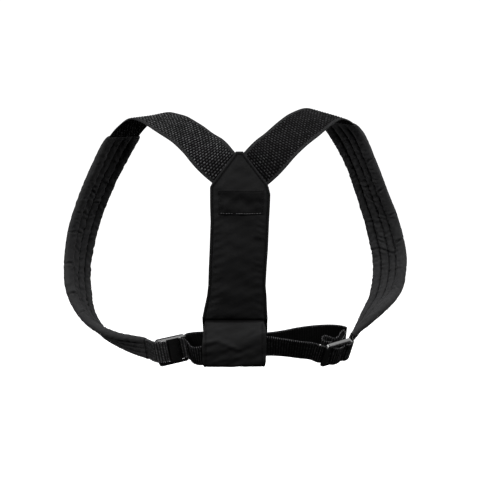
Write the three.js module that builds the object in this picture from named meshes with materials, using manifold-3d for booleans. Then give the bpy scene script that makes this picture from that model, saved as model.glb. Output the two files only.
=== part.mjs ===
// Posture corrector: a padded back panel, two elastic shoulder straps that run
// on into padded arm straps, and a webbing belt with two three-bar sliders.
// Millimetres, +Z up, +Y towards the wearer's chest, +X to the wearer's right
// as seen from behind. The origin is on the line across the two shoulders.
import * as THREE from 'three';
import Module from 'manifold-3d';

// ---------------------------------------------------------------- sizes
const SHOULDER_LINE = { x: 0, y: 85, z: 130 };   // from the middle of the panel's outer face

const GAP = 0.35;                 // clearance between pieces that touch
const ELASTIC_WIDE = 50;
const ELASTIC_SEWN_WIDE = { left: 44.2, right: 47.0 };   // drawn in at the panel's seam
const ELASTIC_THICK = 2.0;
const ELASTIC_HIDDEN = 10;        // sewn in under the panel's peak
const ELASTIC_IN_PAD = 12;        // sewn into the pad's upper end

const PAD_THICK = 10;
const PAD_WIDE = 57.6;
const PAD_INWARD = 0.9;           // a pad's middle lies this far inside the strap's
const PAD_TOP_DRAWN = 0.91;        // share of its width at the very top, its corners are rounded
const PAD_END_WIDE = 28;          // gathered lower end
const PAD_TOP_THICK = 5.6;        // where it closes on the elastic
const PAD_END_THICK = 7.2;        // where it closes on the anchor loop
const PAD_STEP = 13;              // spacing of the pad's sections

const PANEL_THICK = 5.4;
const TUNNEL_THICK = 2.6;         // the panel below its lower seam is cloth only
const PANEL_BOW = 6;              // the panel follows the back: its ends lie this far in
const PANEL_BOW_MID = -5;
const PANEL_BOW_HALF = 105;

const SLEEVE_WALL = 1.6;
const LABEL_THICK = 0.8;
const LABEL = { left: -24.5, right: 29.2, top: 59.5, low: 30.3 };

const WEB_WIDE = 25;
const WEB_THICK = 1.5;
const ANCHOR_IN_PAD = 10;         // length of the anchor loop inside the pad
const ANCHOR_SPREAD = 1.05;       // half the distance between its two layers there
const ANCHOR_LIFT = {              // the layers sag or rise this much between the pad and the slider
  left: { front: 0, rear: 0 }, right: { front: 0, rear: 0 },
};

const SLIDER_THICK = 4.5;
const SLIDER_TALL = 33;
const SLIDER_OPEN = 25.6;           // clear height of its slots
const SLIDER_CORNER = 4.6;
const BAR_WIDE = 6;
const MIDDLE_BAR_WIDE = 14.6;

// bars of the sliders, measured along the slider from its middle
const BARS = { inner: 16.2, middle: 0, outer: -20 };
// section of the rails that join the bars: out of the slider and up its bars
const RAIL_SECTION = [
  { out: 2.6, up: 12.8 }, { out: 2.5, up: 13.1 }, { out: 0.9, up: 15.0 }, { out: -2.1, up: 16.5 },
  { out: -2.6, up: 16.2 }, { out: -2.6, up: 12.8 },
];

// the straps' routes from the panel's seam: centre of the strap, and the
// direction from the centre to its outer (arm-side) edge
const STRAP_LEFT = [
  { x: -17.4, y: 7.0, z: 84.0, ox: -0.680, oy: -0.07, oz: -0.730 },
  { x: -46.4, y: 31.4, z: 109.4, ox: -0.760, oy: -0.548, oz: -0.349 },
  { x: -80.8, y: 61.8, z: 129.6, ox: -0.702, oy: -0.660, oz: -0.285 },
  { x: -114.3, y: 95.1, z: 134.9, ox: -0.698, oy: -0.716, oz: -0.042 },
  { x: -145.0, y: 121.4, z: 107.1, ox: -0.674, oy: -0.736, oz: 0.066 },
  { x: -168.2, y: 138.7, z: 68.0, ox: -0.651, oy: -0.755, oz: 0.074 },
  { x: -188.4, y: 150.3, z: 25.5, ox: -0.613, oy: -0.781, oz: 0.118 },
  { x: -204.4, y: 152.5, z: -19.6, ox: -0.548, oy: -0.802, oz: 0.237 },
  { x: -211.0, y: 139.5, z: -64.0, ox: -0.455, oy: -0.800, oz: 0.391 },
  { x: -204.6, y: 111.8, z: -102.6, ox: -0.494, oy: -0.700, oz: 0.516 },
  { x: -182.6, y: 75.1, z: -125.7, ox: -0.502, oy: -0.623, oz: 0.600 },
  { x: -148.4, y: 38.2, z: -133.8, ox: -0.433, oy: -0.541, oz: 0.721 },
  { x: -111.0, y: 5.0, z: -134.4, ox: -0.139, oy: -0.124, oz: 0.983 },
];
const STRAP_RIGHT = [
  { x: 18.5, y: 7.0, z: 82.4, ox: 0.660, oy: -0.07, oz: -0.748 },
  { x: 46.9, y: 29.3, z: 107.4, ox: 0.777, oy: -0.451, oz: -0.438 },
  { x: 78.1, y: 57.9, z: 129.2, ox: 0.719, oy: -0.529, oz: -0.451 },
  { x: 108.0, y: 92.1, z: 138.2, ox: 0.735, oy: -0.665, oz: -0.165 },
  { x: 134.1, y: 119.9, z: 112.5, ox: 0.718, oy: -0.694, oz: 0.054 },
  { x: 155.2, y: 135.9, z: 72.9, ox: 0.657, oy: -0.752, oz: 0.059 },
  { x: 172.2, y: 146.9, z: 30.8, ox: 0.672, oy: -0.731, oz: 0.117 },
  { x: 187.6, y: 150.1, z: -12.3, ox: 0.702, oy: -0.660, oz: 0.266 },
  { x: 196.2, y: 136.4, z: -55.2, ox: 0.681, oy: -0.622, oz: 0.386 },
  { x: 188.8, y: 105.4, z: -88.6, ox: 0.681, oy: -0.594, oz: 0.428 },
  { x: 167.4, y: 67.5, z: -107.6, ox: 0.586, oy: -0.623, oz: 0.518 },
  { x: 137.4, y: 31.0, z: -129.2, ox: 0.060, oy: -0.810, oz: 0.583 },
];
// where the pad begins and where it starts to narrow, in rows of its route
const PAD_LEFT_FROM = 4.0, PAD_LEFT_NARROWS = 8.7, PAD_LEFT_TAPER = 0.65;
const PAD_RIGHT_FROM = 3.58, PAD_RIGHT_NARROWS = 8.7, PAD_RIGHT_TAPER = 2.0;

// section of a pad: place across it (1 = outer edge), thickness of its two faces
// as a share of half the pad's thickness; the low rows are the sewn channels
const PAD_SECTION = [
  { across: 1.00, body: 0.28, out: 0.28 },
  { across: 0.94, body: 0.74, out: 0.74 },
  { across: 0.74, body: 1.00, out: 1.00 },
  { across: 0.46, body: 0.66, out: 0.84 },
  { across: 0.25, body: 0.98, out: 1.00 },
  { across: 0.04, body: 0.66, out: 0.84 },
  { across: -0.20, body: 0.98, out: 1.00 },
  { across: -0.43, body: 0.66, out: 0.84 },
  { across: -0.68, body: 0.98, out: 1.00 },
  { across: -0.85, body: 0.92, out: 0.94 },
  { across: -0.95, body: 0.70, out: 0.70 },
  { across: -1.00, body: 0.28, out: 0.28 },
];

// outline of the back panel, from its peak down to the tunnel's floor
const PANEL_OUTLINE = [
  { z: 103.5, left: -3.6, right: 4.6, round: 0.1 },
  { z: 97.0, left: -8.5, right: 9.6, round: 0.1 },
  { z: 86.0, left: -16.8, right: 18.0, round: 0.1 },
  { z: 75.0, left: -25.2, right: 26.4, round: 0.1 },
  { z: 66.5, left: -31.6, right: 33.0, round: 0.3 },
  { z: 62.0, left: -34.0, right: 34.8, round: 0.8 },
  { z: 54.0, left: -34.0, right: 36.8, round: 1 },
  { z: 40.0, left: -34.0, right: 36.4, round: 1 },
  { z: 22.0, left: -33.5, right: 35.4, round: 1 },
  { z: 4.0, left: -34.2, right: 34.8, round: 1 },
  { z: -12.0, left: -34.8, right: 34.2, round: 1 },
  { z: -34.0, left: -35.9, right: 32.8, round: 1 },
  { z: -56.0, left: -36.7, right: 31.8, round: 1 },
  { z: -70.0, left: -38.4, right: 33.0, round: 1 },
  { z: -85.0, left: -41.7, right: 33.6, round: 1 },
  { z: -97.0, left: -44.1, right: 34.4, round: 1 },
  { z: -103.0, left: -43.9, right: 34.2, round: 0.5 },
  { z: -115.0, left: -43.2, right: 34.1, round: 0.4 },
  { z: -130.0, left: -42.0, right: 33.3, round: 0.4 },
  { z: -147.0, left: -40.0, right: 31.0, round: 0.4 },
];
// section of the panel from its edge to its middle: how far in, and how far the
// outer face lies below its flat; the second low row is the topstitched groove
const PANEL_SECTION = [
  { inset: 0.0, share: 0.00, drop: 1.5, back: 1.3 },
  { inset: 1.4, share: 0.05, drop: 0.5, back: 0.3 },
  { inset: 4.4, share: 0.14, drop: 0.9, back: 0.0 },
  { inset: 7.5, share: 0.24, drop: 0.1, back: 0.0 },
  { inset: 18.0, share: 0.38, drop: -0.4, back: 0.0 },
  { inset: 99.0, share: 0.50, drop: -0.6, back: 0.0 },
];

// belt sleeve: middle of its wall, from the seam down, round the belt and back under
// (toRidge: share of the way from the seam to the ridge over the belt's upper edge)
const SLEEVE_SEAM_Z = -99;
const SLEEVE_RIDGE = [
  { x: -43.5, z: -123.5 }, { x: -20, z: -124.0 }, { x: -2, z: -125.0 },
  { x: 12, z: -119.5 }, { x: 31, z: -112.0 },
];
const SLEEVE_UPPER = [
  { toRidge: 0.00, y: 3.3, cut: 3.2 }, { toRidge: 0.14, y: 2.0, cut: 3.0 }, { toRidge: 0.42, y: -4.0, cut: 1.8 },
  { toRidge: 0.74, y: -9.6, cut: 0.6 }, { toRidge: 1.00, y: -12.6, cut: 0 },
];
const SLEEVE_LOWER = [
  { z: -133.5, y: -13.4, cut: 0 }, { z: -144.5, y: -13.2, cut: 0 }, { z: -150.2, y: -12.2, cut: 1.2 },
  { z: -152.4, y: -9.0, cut: 2.8 }, { z: -152.8, y: -3.0, cut: 3.4 }, { z: -151.9, y: 4.0, cut: 3.6 },
  { z: -149.9, y: 8.6, cut: 3.6 },
];

// sliders: middle, direction along the strap, direction up the bars
const SLIDER_LEFT = { x: -77.6, y: -3.0, z: -133.6, ax: 0.830, ay: 0.555, az: 0.03, ux: -0.22, uy: 0.25, uz: 0.95 };
const SLIDER_RIGHT = { x: 116.0, y: 2.0, z: -139.8, ax: -0.770, ay: -0.635, az: -0.03, ux: 0.240, uy: -0.285, uz: 0.928 };

// belt: centre of the webbing, and the x and y parts of the direction up its width
const BELT_FAR = [
  { x: 131.4, y: 35.4, z: -127.4, wx: 0.05, wy: -0.26 },
  { x: 126.8, y: 32.6, z: -125.6, wx: 0.04, wy: -0.20 },
  { x: 118.0, y: 28.5, z: -123.6, wx: 0, wy: -0.10 },
  { x: 98.0, y: 22.0, z: -122.3, wx: 0, wy: 0 },
  { x: 73.0, y: 12.0, z: -122.2, wx: 0, wy: 0 },
  { x: 50.0, y: 5.5, z: -124.8, wx: 0, wy: 0 },
  { x: 31.0, y: 3.0, z: -126.4, wx: 0, wy: 0 },
  { x: 0.0, y: 2.6, z: -125.0, wx: -0.03, wy: 0 },
  { x: -25.0, y: 2.6, z: -125.6, wx: -0.08, wy: 0 },
  { x: -43.0, y: 4.6, z: -125.6, wx: -0.20, wy: 0.04 },
  { x: -53.4, y: 8.8, z: -127.6, wx: -0.34, wy: 0.14 },
];
const BELT_ROUND_LEFT = [            // along the slider, out of it, and how far the webbing rides up or down
  { along: 20.6, out: -4.3, lift: 3.2 }, { along: 15.8, out: -3.9, lift: 0.2 }, { along: 11.4, out: -3.4, lift: 0 },
  { along: 9.6, out: 0.0, lift: 0 }, { along: 10.8, out: 3.4, lift: 0 }, { along: 13.4, out: 4.5, lift: -0.5 },
  { along: 16.6, out: 4.9, lift: -4.0 },
];
const BELT_NEAR = [
  { x: -55.0, y: -2.6, z: -140.6, wx: -0.17, wy: -0.20 },
  { x: -48.5, y: -6.8, z: -140.4, wx: -0.10, wy: -0.18 },
  { x: -41.0, y: -9.0, z: -138.5, wx: 0, wy: -0.04 },
  { x: -20.0, y: -9.4, z: -137.4, wx: 0, wy: 0 },
  { x: -2.0, y: -9.4, z: -136.6, wx: -0.12, wy: 0 },
  { x: 14.0, y: -9.4, z: -131.6, wx: -0.20, wy: 0 },
  { x: 31.0, y: -9.2, z: -127.4, wx: -0.05, wy: -0.06 },
  { x: 52.0, y: -9.4, z: -129.0, wx: 0.06, wy: -0.28 },
  { x: 73.0, y: -10.4, z: -131.6, wx: 0.12, wy: -0.32 },
  { x: 88.0, y: -11.2, z: -133.4, wx: 0.20, wy: -0.32 },
];
const BELT_OVER_RIGHT = [            // behind the end bar, up, over the middle bar, down
  { along: 22.0, out: -4.2, lift: 1.6 }, { along: 16.6, out: -3.9, lift: 0.2 }, { along: 12.0, out: -3.3, lift: 0 },
  { along: 9.9, out: 0.0, lift: 0 }, { along: 8.0, out: 3.2, lift: 0 }, { along: 4.0, out: 3.9, lift: -0.7 },
  { along: -4.0, out: 3.9, lift: -0.7 }, { along: -7.8, out: 3.2, lift: 0 }, { along: -8.7, out: 0.0, lift: 0 },
  { along: -9.0, out: -5.0, lift: 0 },
];
const BELT_TAIL = [
  { x: 124.4, y: 15.0, z: -132.6, wx: 0.20, wy: -0.32 },
  { x: 127.4, y: 20.5, z: -129.4, wx: 0.14, wy: -0.28 },
  { x: 125.6, y: 24.0, z: -127.6, wx: 0.10, wy: -0.24 },
  { x: 122.6, y: 21.2, z: -129.2, wx: 0.10, wy: -0.24 },
  { x: 119.2, y: 15.8, z: -132.6, wx: 0.10, wy: -0.26 },
  { x: 114.6, y: 13.2, z: -134.8, wx: 0.08, wy: -0.26 },
  { x: 109.0, y: 14.8, z: -133.8, wx: 0.06, wy: -0.22 },
  { x: 103.2, y: 15.8, z: -132.8, wx: 0.06, wy: -0.20 },
  { x: 99.4, y: 13.8, z: -133.4, wx: 0.08, wy: -0.24 },
  { x: 99.2, y: 10.8, z: -135.4, wx: 0.10, wy: -0.30 },
  { x: 102.6, y: 9.2, z: -136.8, wx: 0.12, wy: -0.34 },
  { x: 108.0, y: 9.4, z: -137.4, wx: 0.14, wy: -0.38 },
  { x: 110.6, y: 9.8, z: -137.6, wx: 0.14, wy: -0.38 },
];
// anchor loops: one layer out of the pad, round the outer bar, one layer back
const ANCHOR_ROUND = {
  left: [
    { along: -25.8, out: -7.0, lift: 3.5 }, { along: -25.4, out: 0.6, lift: 1.8 }, { along: -20.4, out: 3.9, lift: 0 },
    { along: -11.4, out: 3.4, lift: 0 }, { along: -9.6, out: 0.0, lift: 0 }, { along: -11.4, out: -3.4, lift: 0 },
    { along: -17.0, out: -3.9, lift: 0 }, { along: -21.6, out: -7.0, lift: 2.5 },
  ],
  right: [
    { along: -20.0, out: 3.9, lift: 0 }, { along: -13.0, out: 3.4, lift: 0 }, { along: -12.0, out: 0.0, lift: 0 },
    { along: -13.0, out: -3.4, lift: 0 }, { along: -20.0, out: -3.9, lift: 0 },
  ],
};

const CLOTH = { color: 0x1b1b1d, roughness: 0.85, metalness: 0 };
const ELASTIC_LOOK = { color: 0x202123, roughness: 0.9, metalness: 0 };
const WEB_LOOK = { color: 0x0f0f10, roughness: 0.8, metalness: 0 };
const PLASTIC = { color: 0x0c0c0d, roughness: 0.35, metalness: 0 };

// ---------------------------------------------------------------- helpers
const vec = (x, y, z) => new THREE.Vector3(x, y, z);
const mix = (a, b, t) => a + (b - a) * t;
const clamp = (t, a, b) => Math.min(Math.max(t, a), b);

// straight-line value of a column of a table at a place in another column
function lookup(rows, key, at, value) {
  const up = rows[0][key] < rows[rows.length - 1][key];
  const list = up ? rows : [...rows].reverse();
  if (at <= list[0][key]) return list[0][value];
  for (let i = 1; i < list.length; i++) {
    if (at <= list[i][key]) {
      return mix(list[i - 1][value], list[i][value], (at - list[i - 1][key]) / (list[i][key] - list[i - 1][key]));
    }
  }
  return list[list.length - 1][value];
}

// smooth route through rows that hold a point p and a direction w; at(s) is the
// section at the distance s from the first row
function route(rows) {
  const s = [0];
  for (let i = 1; i < rows.length; i++) s.push(s[i - 1] + rows[i].p.distanceTo(rows[i - 1].p));
  const last = rows.length - 1;
  const slope = (key) => rows.map((row, i) => {
    const ahead = i < last ? rows[i + 1][key].clone().sub(row[key]).divideScalar(s[i + 1] - s[i]) : null;
    const behind = i > 0 ? row[key].clone().sub(rows[i - 1][key]).divideScalar(s[i] - s[i - 1]) : null;
    if (!ahead) return behind;
    if (!behind) return ahead;
    const h0 = s[i] - s[i - 1], h1 = s[i + 1] - s[i];
    return behind.multiplyScalar(h1 / (h0 + h1)).addScaledVector(ahead, h0 / (h0 + h1));
  });
  const dp = slope('p'), dw = slope('w');
  const cubic = (key, d, i, t, h) => rows[i][key].clone().multiplyScalar(2 * t ** 3 - 3 * t ** 2 + 1)
    .addScaledVector(d[i], h * (t ** 3 - 2 * t ** 2 + t))
    .addScaledVector(rows[i + 1][key], 3 * t ** 2 - 2 * t ** 3)
    .addScaledVector(d[i + 1], h * (t ** 3 - t ** 2));
  const place = (key, d, at) => {
    let i = 0;
    while (i < last - 1 && at > s[i + 1]) i++;
    const h = s[i + 1] - s[i];
    if (at < 0) return rows[0][key].clone().addScaledVector(d[0], at);
    if (at > s[last]) return rows[last][key].clone().addScaledVector(d[last], at - s[last]);
    return cubic(key, d, i, (at - s[i]) / h, h);
  };
  return {
    length: s[last],
    row: (k) => mix(s[Math.floor(k)], s[Math.min(Math.floor(k) + 1, last)], k - Math.floor(k)),
    at(dist) {
      const p = place('p', dp, dist), w = place('w', dw, dist).normalize();
      const t = place('p', dp, dist + 0.05).sub(place('p', dp, dist - 0.05)).normalize();
      return { p, w, t, n: t.clone().cross(w).normalize(), s: dist };
    },
  };
}

// distances along a route, close together only where it bends
function stations(path, from, to, longest, turn) {
  const list = [from];
  let was = path.at(from);
  for (let s = from + 0.4; s < to - 0.6; s += 0.4) {
    const now = path.at(s);
    const bend = Math.max(now.t.angleTo(was.t), now.w.angleTo(was.w) * 0.7);
    if (s - was.s >= longest || bend > turn) { list.push(s); was = now; }
  }
  list.push(to);
  return list;
}

// closed body between two grids of points, rows along the piece and columns across it
function slab(outer, inner) {
  const R = outer.length, C = outer[0].length;
  const points = [...outer.flat(), ...inner.flat()];
  const o = (r, c) => r * C + c, i = (r, c) => R * C + r * C + c;
  const index = [];
  const quad = (a, b, c, d) => index.push(a, b, c, a, c, d);
  for (let r = 0; r < R - 1; r++) {
    for (let c = 0; c < C - 1; c++) {
      quad(o(r, c), o(r, c + 1), o(r + 1, c + 1), o(r + 1, c));
      quad(i(r, c), i(r + 1, c), i(r + 1, c + 1), i(r, c + 1));
    }
    quad(o(r, 0), o(r + 1, 0), i(r + 1, 0), i(r, 0));
    quad(o(r + 1, C - 1), o(r, C - 1), i(r, C - 1), i(r + 1, C - 1));
  }
  for (let c = 0; c < C - 1; c++) {
    quad(o(0, c + 1), o(0, c), i(0, c), i(0, c + 1));
    quad(o(R - 1, c), o(R - 1, c + 1), i(R - 1, c + 1), i(R - 1, c));
  }
  let volume = 0;
  for (let k = 0; k < index.length; k += 3) {
    const [a, b, c] = [points[index[k]], points[index[k + 1]], points[index[k + 2]]];
    volume += a.dot(b.clone().cross(c)) / 6;
  }
  if (volume < 0) for (let k = 0; k < index.length; k += 3) [index[k + 1], index[k + 2]] = [index[k + 2], index[k + 1]];
  return shape(points.flatMap((p) => [p.x, p.y, p.z]), index);
}

function shape(position, index) {
  const geometry = new THREE.BufferGeometry();
  geometry.setAttribute('position', new THREE.Float32BufferAttribute(position, 3));
  geometry.setIndex(index);
  geometry.computeVertexNormals();
  return geometry;
}

const wasm = await Module();
wasm.setup();
const solid = (geometry) => new wasm.Manifold(new wasm.Mesh({
  numProp: 3,
  vertProperties: new Float32Array(geometry.getAttribute('position').array),
  triVerts: new Uint32Array(geometry.getIndex().array),
}));
function surface(body) {
  const mesh = body.getMesh();
  return shape(Array.from(mesh.vertProperties), Array.from(mesh.triVerts));
}

// flat strap along a route; wide is a width or a width for each distance
function strap(path, list, wide, thick) {
  const width = typeof wide === 'function' ? wide : () => wide;
  const grid = (sign) => list.map((s) => {
    const at = path.at(s);
    return [1, 1 / 3, -1 / 3, -1].map((c) => at.p.clone()
      .addScaledVector(at.w, c * width(s) / 2).addScaledVector(at.n, sign * thick / 2));
  });
  return slab(grid(1), grid(-1));
}
const elasticWide = (side) => (s) => mix(ELASTIC_SEWN_WIDE[side], ELASTIC_WIDE, clamp((s - ELASTIC_HIDDEN) / 35, 0, 1));
function ribbon(path, list, wide, thick) {
  const grid = (sign) => list.map((s) => {
    const at = path.at(s);
    return [1, -1].map((c) => at.p.clone()
      .addScaledVector(at.w, c * wide / 2).addScaledVector(at.n, sign * thick / 2));
  });
  return slab(grid(1), grid(-1));
}

const bow = (z) => PANEL_BOW * ((z - PANEL_BOW_MID) / PANEL_BOW_HALF) ** 2;

// a slider's own directions, and a point of its mid-plane section in space
function frameOf(slider) {
  const along = vec(slider.ax, slider.ay, slider.az).normalize();
  const up = vec(slider.ux, slider.uy, slider.uz);
  up.addScaledVector(along, -up.dot(along)).normalize();
  const out = along.clone().cross(up);
  if (out.y > 0) out.negate();                      // the face turned away from the wearer
  const middle = vec(slider.x, slider.y, slider.z);
  return {
    along, up, out, middle,
    facing: out.dot(along.clone().cross(up)) > 0 ? 1 : -1,
    row: (r) => ({
      p: middle.clone().addScaledVector(along, r.along).addScaledVector(out, r.out).add(vec(0, 0, r.lift)),
      w: up.clone(),
    }),
  };
}
const leftFrame = frameOf(SLIDER_LEFT), rightFrame = frameOf(SLIDER_RIGHT);

const beltRow = (r) => ({ p: vec(r.x, r.y, r.z), w: vec(r.wx, r.wy, Math.sqrt(1 - r.wx ** 2 - r.wy ** 2)) });
const strapRow = (r) => ({ p: vec(r.x, r.y, r.z), w: vec(r.ox, r.oy, r.oz).normalize() });

// ---------------------------------------------------------------- pieces
// route of a shoulder strap, with its hidden end under the panel's peak first
function strapRoute(rows) {
  const list = rows.map(strapRow);
  const first = list[0];
  const inPlane = vec(first.w.z, 0, -first.w.x).normalize();
  if (inPlane.z > 0) inPlane.negate();
  const p = first.p.clone().addScaledVector(inPlane, ELASTIC_HIDDEN);
  p.y = first.p.y + bow(p.z) - bow(first.p.z);
  return { path: route([{ p, w: first.w.clone() }, ...list]), hidden: ELASTIC_HIDDEN };
}

function padBody(path, from, narrows, to, taper) {
  const count = Math.round((to - from) / PAD_STEP);
  const outer = [], inner = [];
  const extra = [from, from + 4];                   // closes quickly at its upper end
  const list = [...extra, ...Array.from({ length: count }, (_, i) => mix(from, to, (i + 1) / count))];
  for (const s of list) {
    const at = path.at(s);
    const corner = mix(PAD_TOP_DRAWN, 1, Math.sqrt(clamp((s - from) / 7, 0, 1)));
    const wide = corner * (s < narrows ? PAD_WIDE : mix(PAD_WIDE, PAD_END_WIDE, ((s - narrows) / (to - narrows)) ** taper));
    const top = clamp((s - from) / 22, 0, 1), low = clamp((to - s) / 60, 0, 1);
    const thick = Math.min(mix(PAD_TOP_THICK, PAD_THICK, top ** 0.6), mix(PAD_END_THICK, PAD_THICK, low));
    const side = (face, sign) => PAD_SECTION.map((row) => at.p.clone()
      .addScaledVector(at.w, row.across * wide / 2 - PAD_INWARD * low)
      .addScaledVector(at.n, sign * mix(1, row[face], clamp(0.55 + 0.45 * Math.min(top, low), 0, 1)) * thick / 2));
    outer.push(side('out', outSign(path)));
    inner.push(side('body', -outSign(path)));
  }
  return slab(outer, inner);
}
// +1 where a route's normal points away from the wearer
const outSign = (path) => (path.at(ELASTIC_HIDDEN).n.y < 0 ? 1 : -1);

function backPanel() {
  const outer = [], inner = [];
  for (const row of PANEL_OUTLINE) {
    const wide = row.right - row.left;
    const thick = row.z < SLEEVE_SEAM_Z ? TUNNEL_THICK : PANEL_THICK;
    const place = (cut) => Math.min(cut.inset, cut.share * wide);
    const half = PANEL_SECTION.map((cut) => ({ x: row.left + place(cut), cut }));
    const other = PANEL_SECTION.slice(0, -1).reverse().map((cut) => ({ x: row.right - place(cut), cut }));
    const line = [...half, ...other];
    const face = row.z < SLEEVE_SEAM_Z ? PANEL_THICK - TUNNEL_THICK : 0;
    outer.push(line.map(({ x, cut }) => vec(x, bow(row.z) + face + cut.drop * row.round, row.z)));
    inner.push(line.map(({ x, cut }) => vec(x, bow(row.z) + face + thick - cut.back * row.round, row.z)));
  }
  return slab(outer, inner);
}

function panelFace(x, z) {
  const left = lookup(PANEL_OUTLINE, 'z', z, 'left'), right = lookup(PANEL_OUTLINE, 'z', z, 'right');
  return bow(z) + lookup(PANEL_SECTION, 'inset', Math.min(x - left, right - x, 99), 'drop');
}

function labelPatch() {
  const outer = [], inner = [];
  for (const z of [LABEL.top, 54, 46, 38, LABEL.low]) {
    const line = [0, 0.08, 0.3, 0.5, 0.7, 0.92, 1].map((f) => mix(LABEL.left, LABEL.right, f));
    const lift = (x) => Math.min(panelFace(x, z), bow(z)) - GAP - 0.15;
    outer.push(line.map((x) => vec(x, lift(x) - LABEL_THICK, z)));
    inner.push(line.map((x) => vec(x, lift(x), z)));
  }
  return slab(outer, inner);
}

function beltSleeve() {
  const across = [-43.5, -41, -32, -20, -8, 3, 14, 23, 29.5, 32];
  const wall = (x) => {
    const ridge = lookup(SLEEVE_RIDGE, 'x', x, 'z');
    const rows = SLEEVE_UPPER.map((r) => ({ y: r.y, z: mix(SLEEVE_SEAM_Z, ridge, r.toRidge), cut: r.cut }));
    return [...rows, ...SLEEVE_LOWER];
  };
  const sheets = across.map((x) => wall(x));
  const rows = sheets[0].length;
  const outer = [], inner = [];
  for (let r = 0; r < rows; r++) {
    const out = [], inn = [];
    across.forEach((x, c) => {
      const w = sheets[c], a = w[Math.max(r - 1, 0)], b = w[Math.min(r + 1, rows - 1)];
      const ty = b.y - a.y, tz = b.z - a.z, l = Math.hypot(ty, tz);
      const ny = tz / l, nz = -ty / l;              // out of the tunnel
      const pulled = clamp(x, -43.5 + w[r].cut, 32 - w[r].cut);
      const f = pulled === x ? x : mix(x, pulled, 1);
      out.push(vec(f + (c - 4.5) * 0.02, w[r].y + ny * SLEEVE_WALL / 2, w[r].z + nz * SLEEVE_WALL / 2));
      inn.push(vec(f + (c - 4.5) * 0.02, w[r].y - ny * SLEEVE_WALL / 2, w[r].z - nz * SLEEVE_WALL / 2));
    });
    outer.push(out);
    inner.push(inn);
  }
  return slab(outer, inner);
}

function sliderBody(facing) {
  const outline = (x0, x1, y0, y1, r, Type) => {
    const path = new Type();
    path.moveTo(x0 + r, y0);
    path.lineTo(x1 - r, y0); path.quadraticCurveTo(x1, y0, x1, y0 + r);
    path.lineTo(x1, y1 - r); path.quadraticCurveTo(x1, y1, x1 - r, y1);
    path.lineTo(x0 + r, y1); path.quadraticCurveTo(x0, y1, x0, y1 - r);
    path.lineTo(x0, y0 + r); path.quadraticCurveTo(x0, y0, x0 + r, y0);
    return path;
  };
  const half = BAR_WIDE / 2, railFrom = RAIL_SECTION[0].up;
  const loop = (path) => path.getPoints(3).map((p) => [p.x, p.y]);
  const rim = loop(outline(BARS.outer - half, BARS.inner + half, -SLIDER_TALL / 2, SLIDER_TALL / 2, SLIDER_CORNER, THREE.Shape));
  const slots = [[BARS.outer + half, BARS.middle - MIDDLE_BAR_WIDE / 2], [BARS.middle + MIDDLE_BAR_WIDE / 2, BARS.inner - half]]
    .map(([from, to]) => loop(outline(from, to, -SLIDER_OPEN / 2, SLIDER_OPEN / 2, 1, THREE.Shape)));
  const deep = 2 * Math.max(...RAIL_SECTION.map((r) => Math.abs(r.out)));
  const long = BARS.inner - BARS.outer + BAR_WIDE + 2;
  const block = (shape, depth) => shape.extrude(depth).translate([0, 0, -depth / 2]);
  // the bars, cut off where the rails begin
  let body = block(new wasm.CrossSection([rim, ...slots], 'EvenOdd'), SLIDER_THICK)
    .intersect(wasm.Manifold.cube([long, 2 * railFrom + 0.4, deep], true));
  const whole = block(new wasm.CrossSection([rim]), deep + 1);
  for (const end of [1, -1]) {
    const section = RAIL_SECTION.map((r) => [-facing * r.out, end * r.up]);
    const rail = block(new wasm.CrossSection([section], 'NonZero'), long).rotate([0, 90, 0]);
    body = body.add(rail.intersect(whole));
  }
  return surface(body);
}

// ---------------------------------------------------------------- assembly
const harness = new THREE.Group();
harness.position.set(-SHOULDER_LINE.x, -SHOULDER_LINE.y, -SHOULDER_LINE.z);
const root = new THREE.Group();
root.add(harness);
function add(name, geometry, look) {
  const mesh = new THREE.Mesh(geometry, new THREE.MeshStandardMaterial(look));
  mesh.name = name;
  harness.add(mesh);
  return mesh;
}

let panel = solid(backPanel());
const middle = 0.5;                                  // the elastics meet on this line inside the peak

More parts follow.
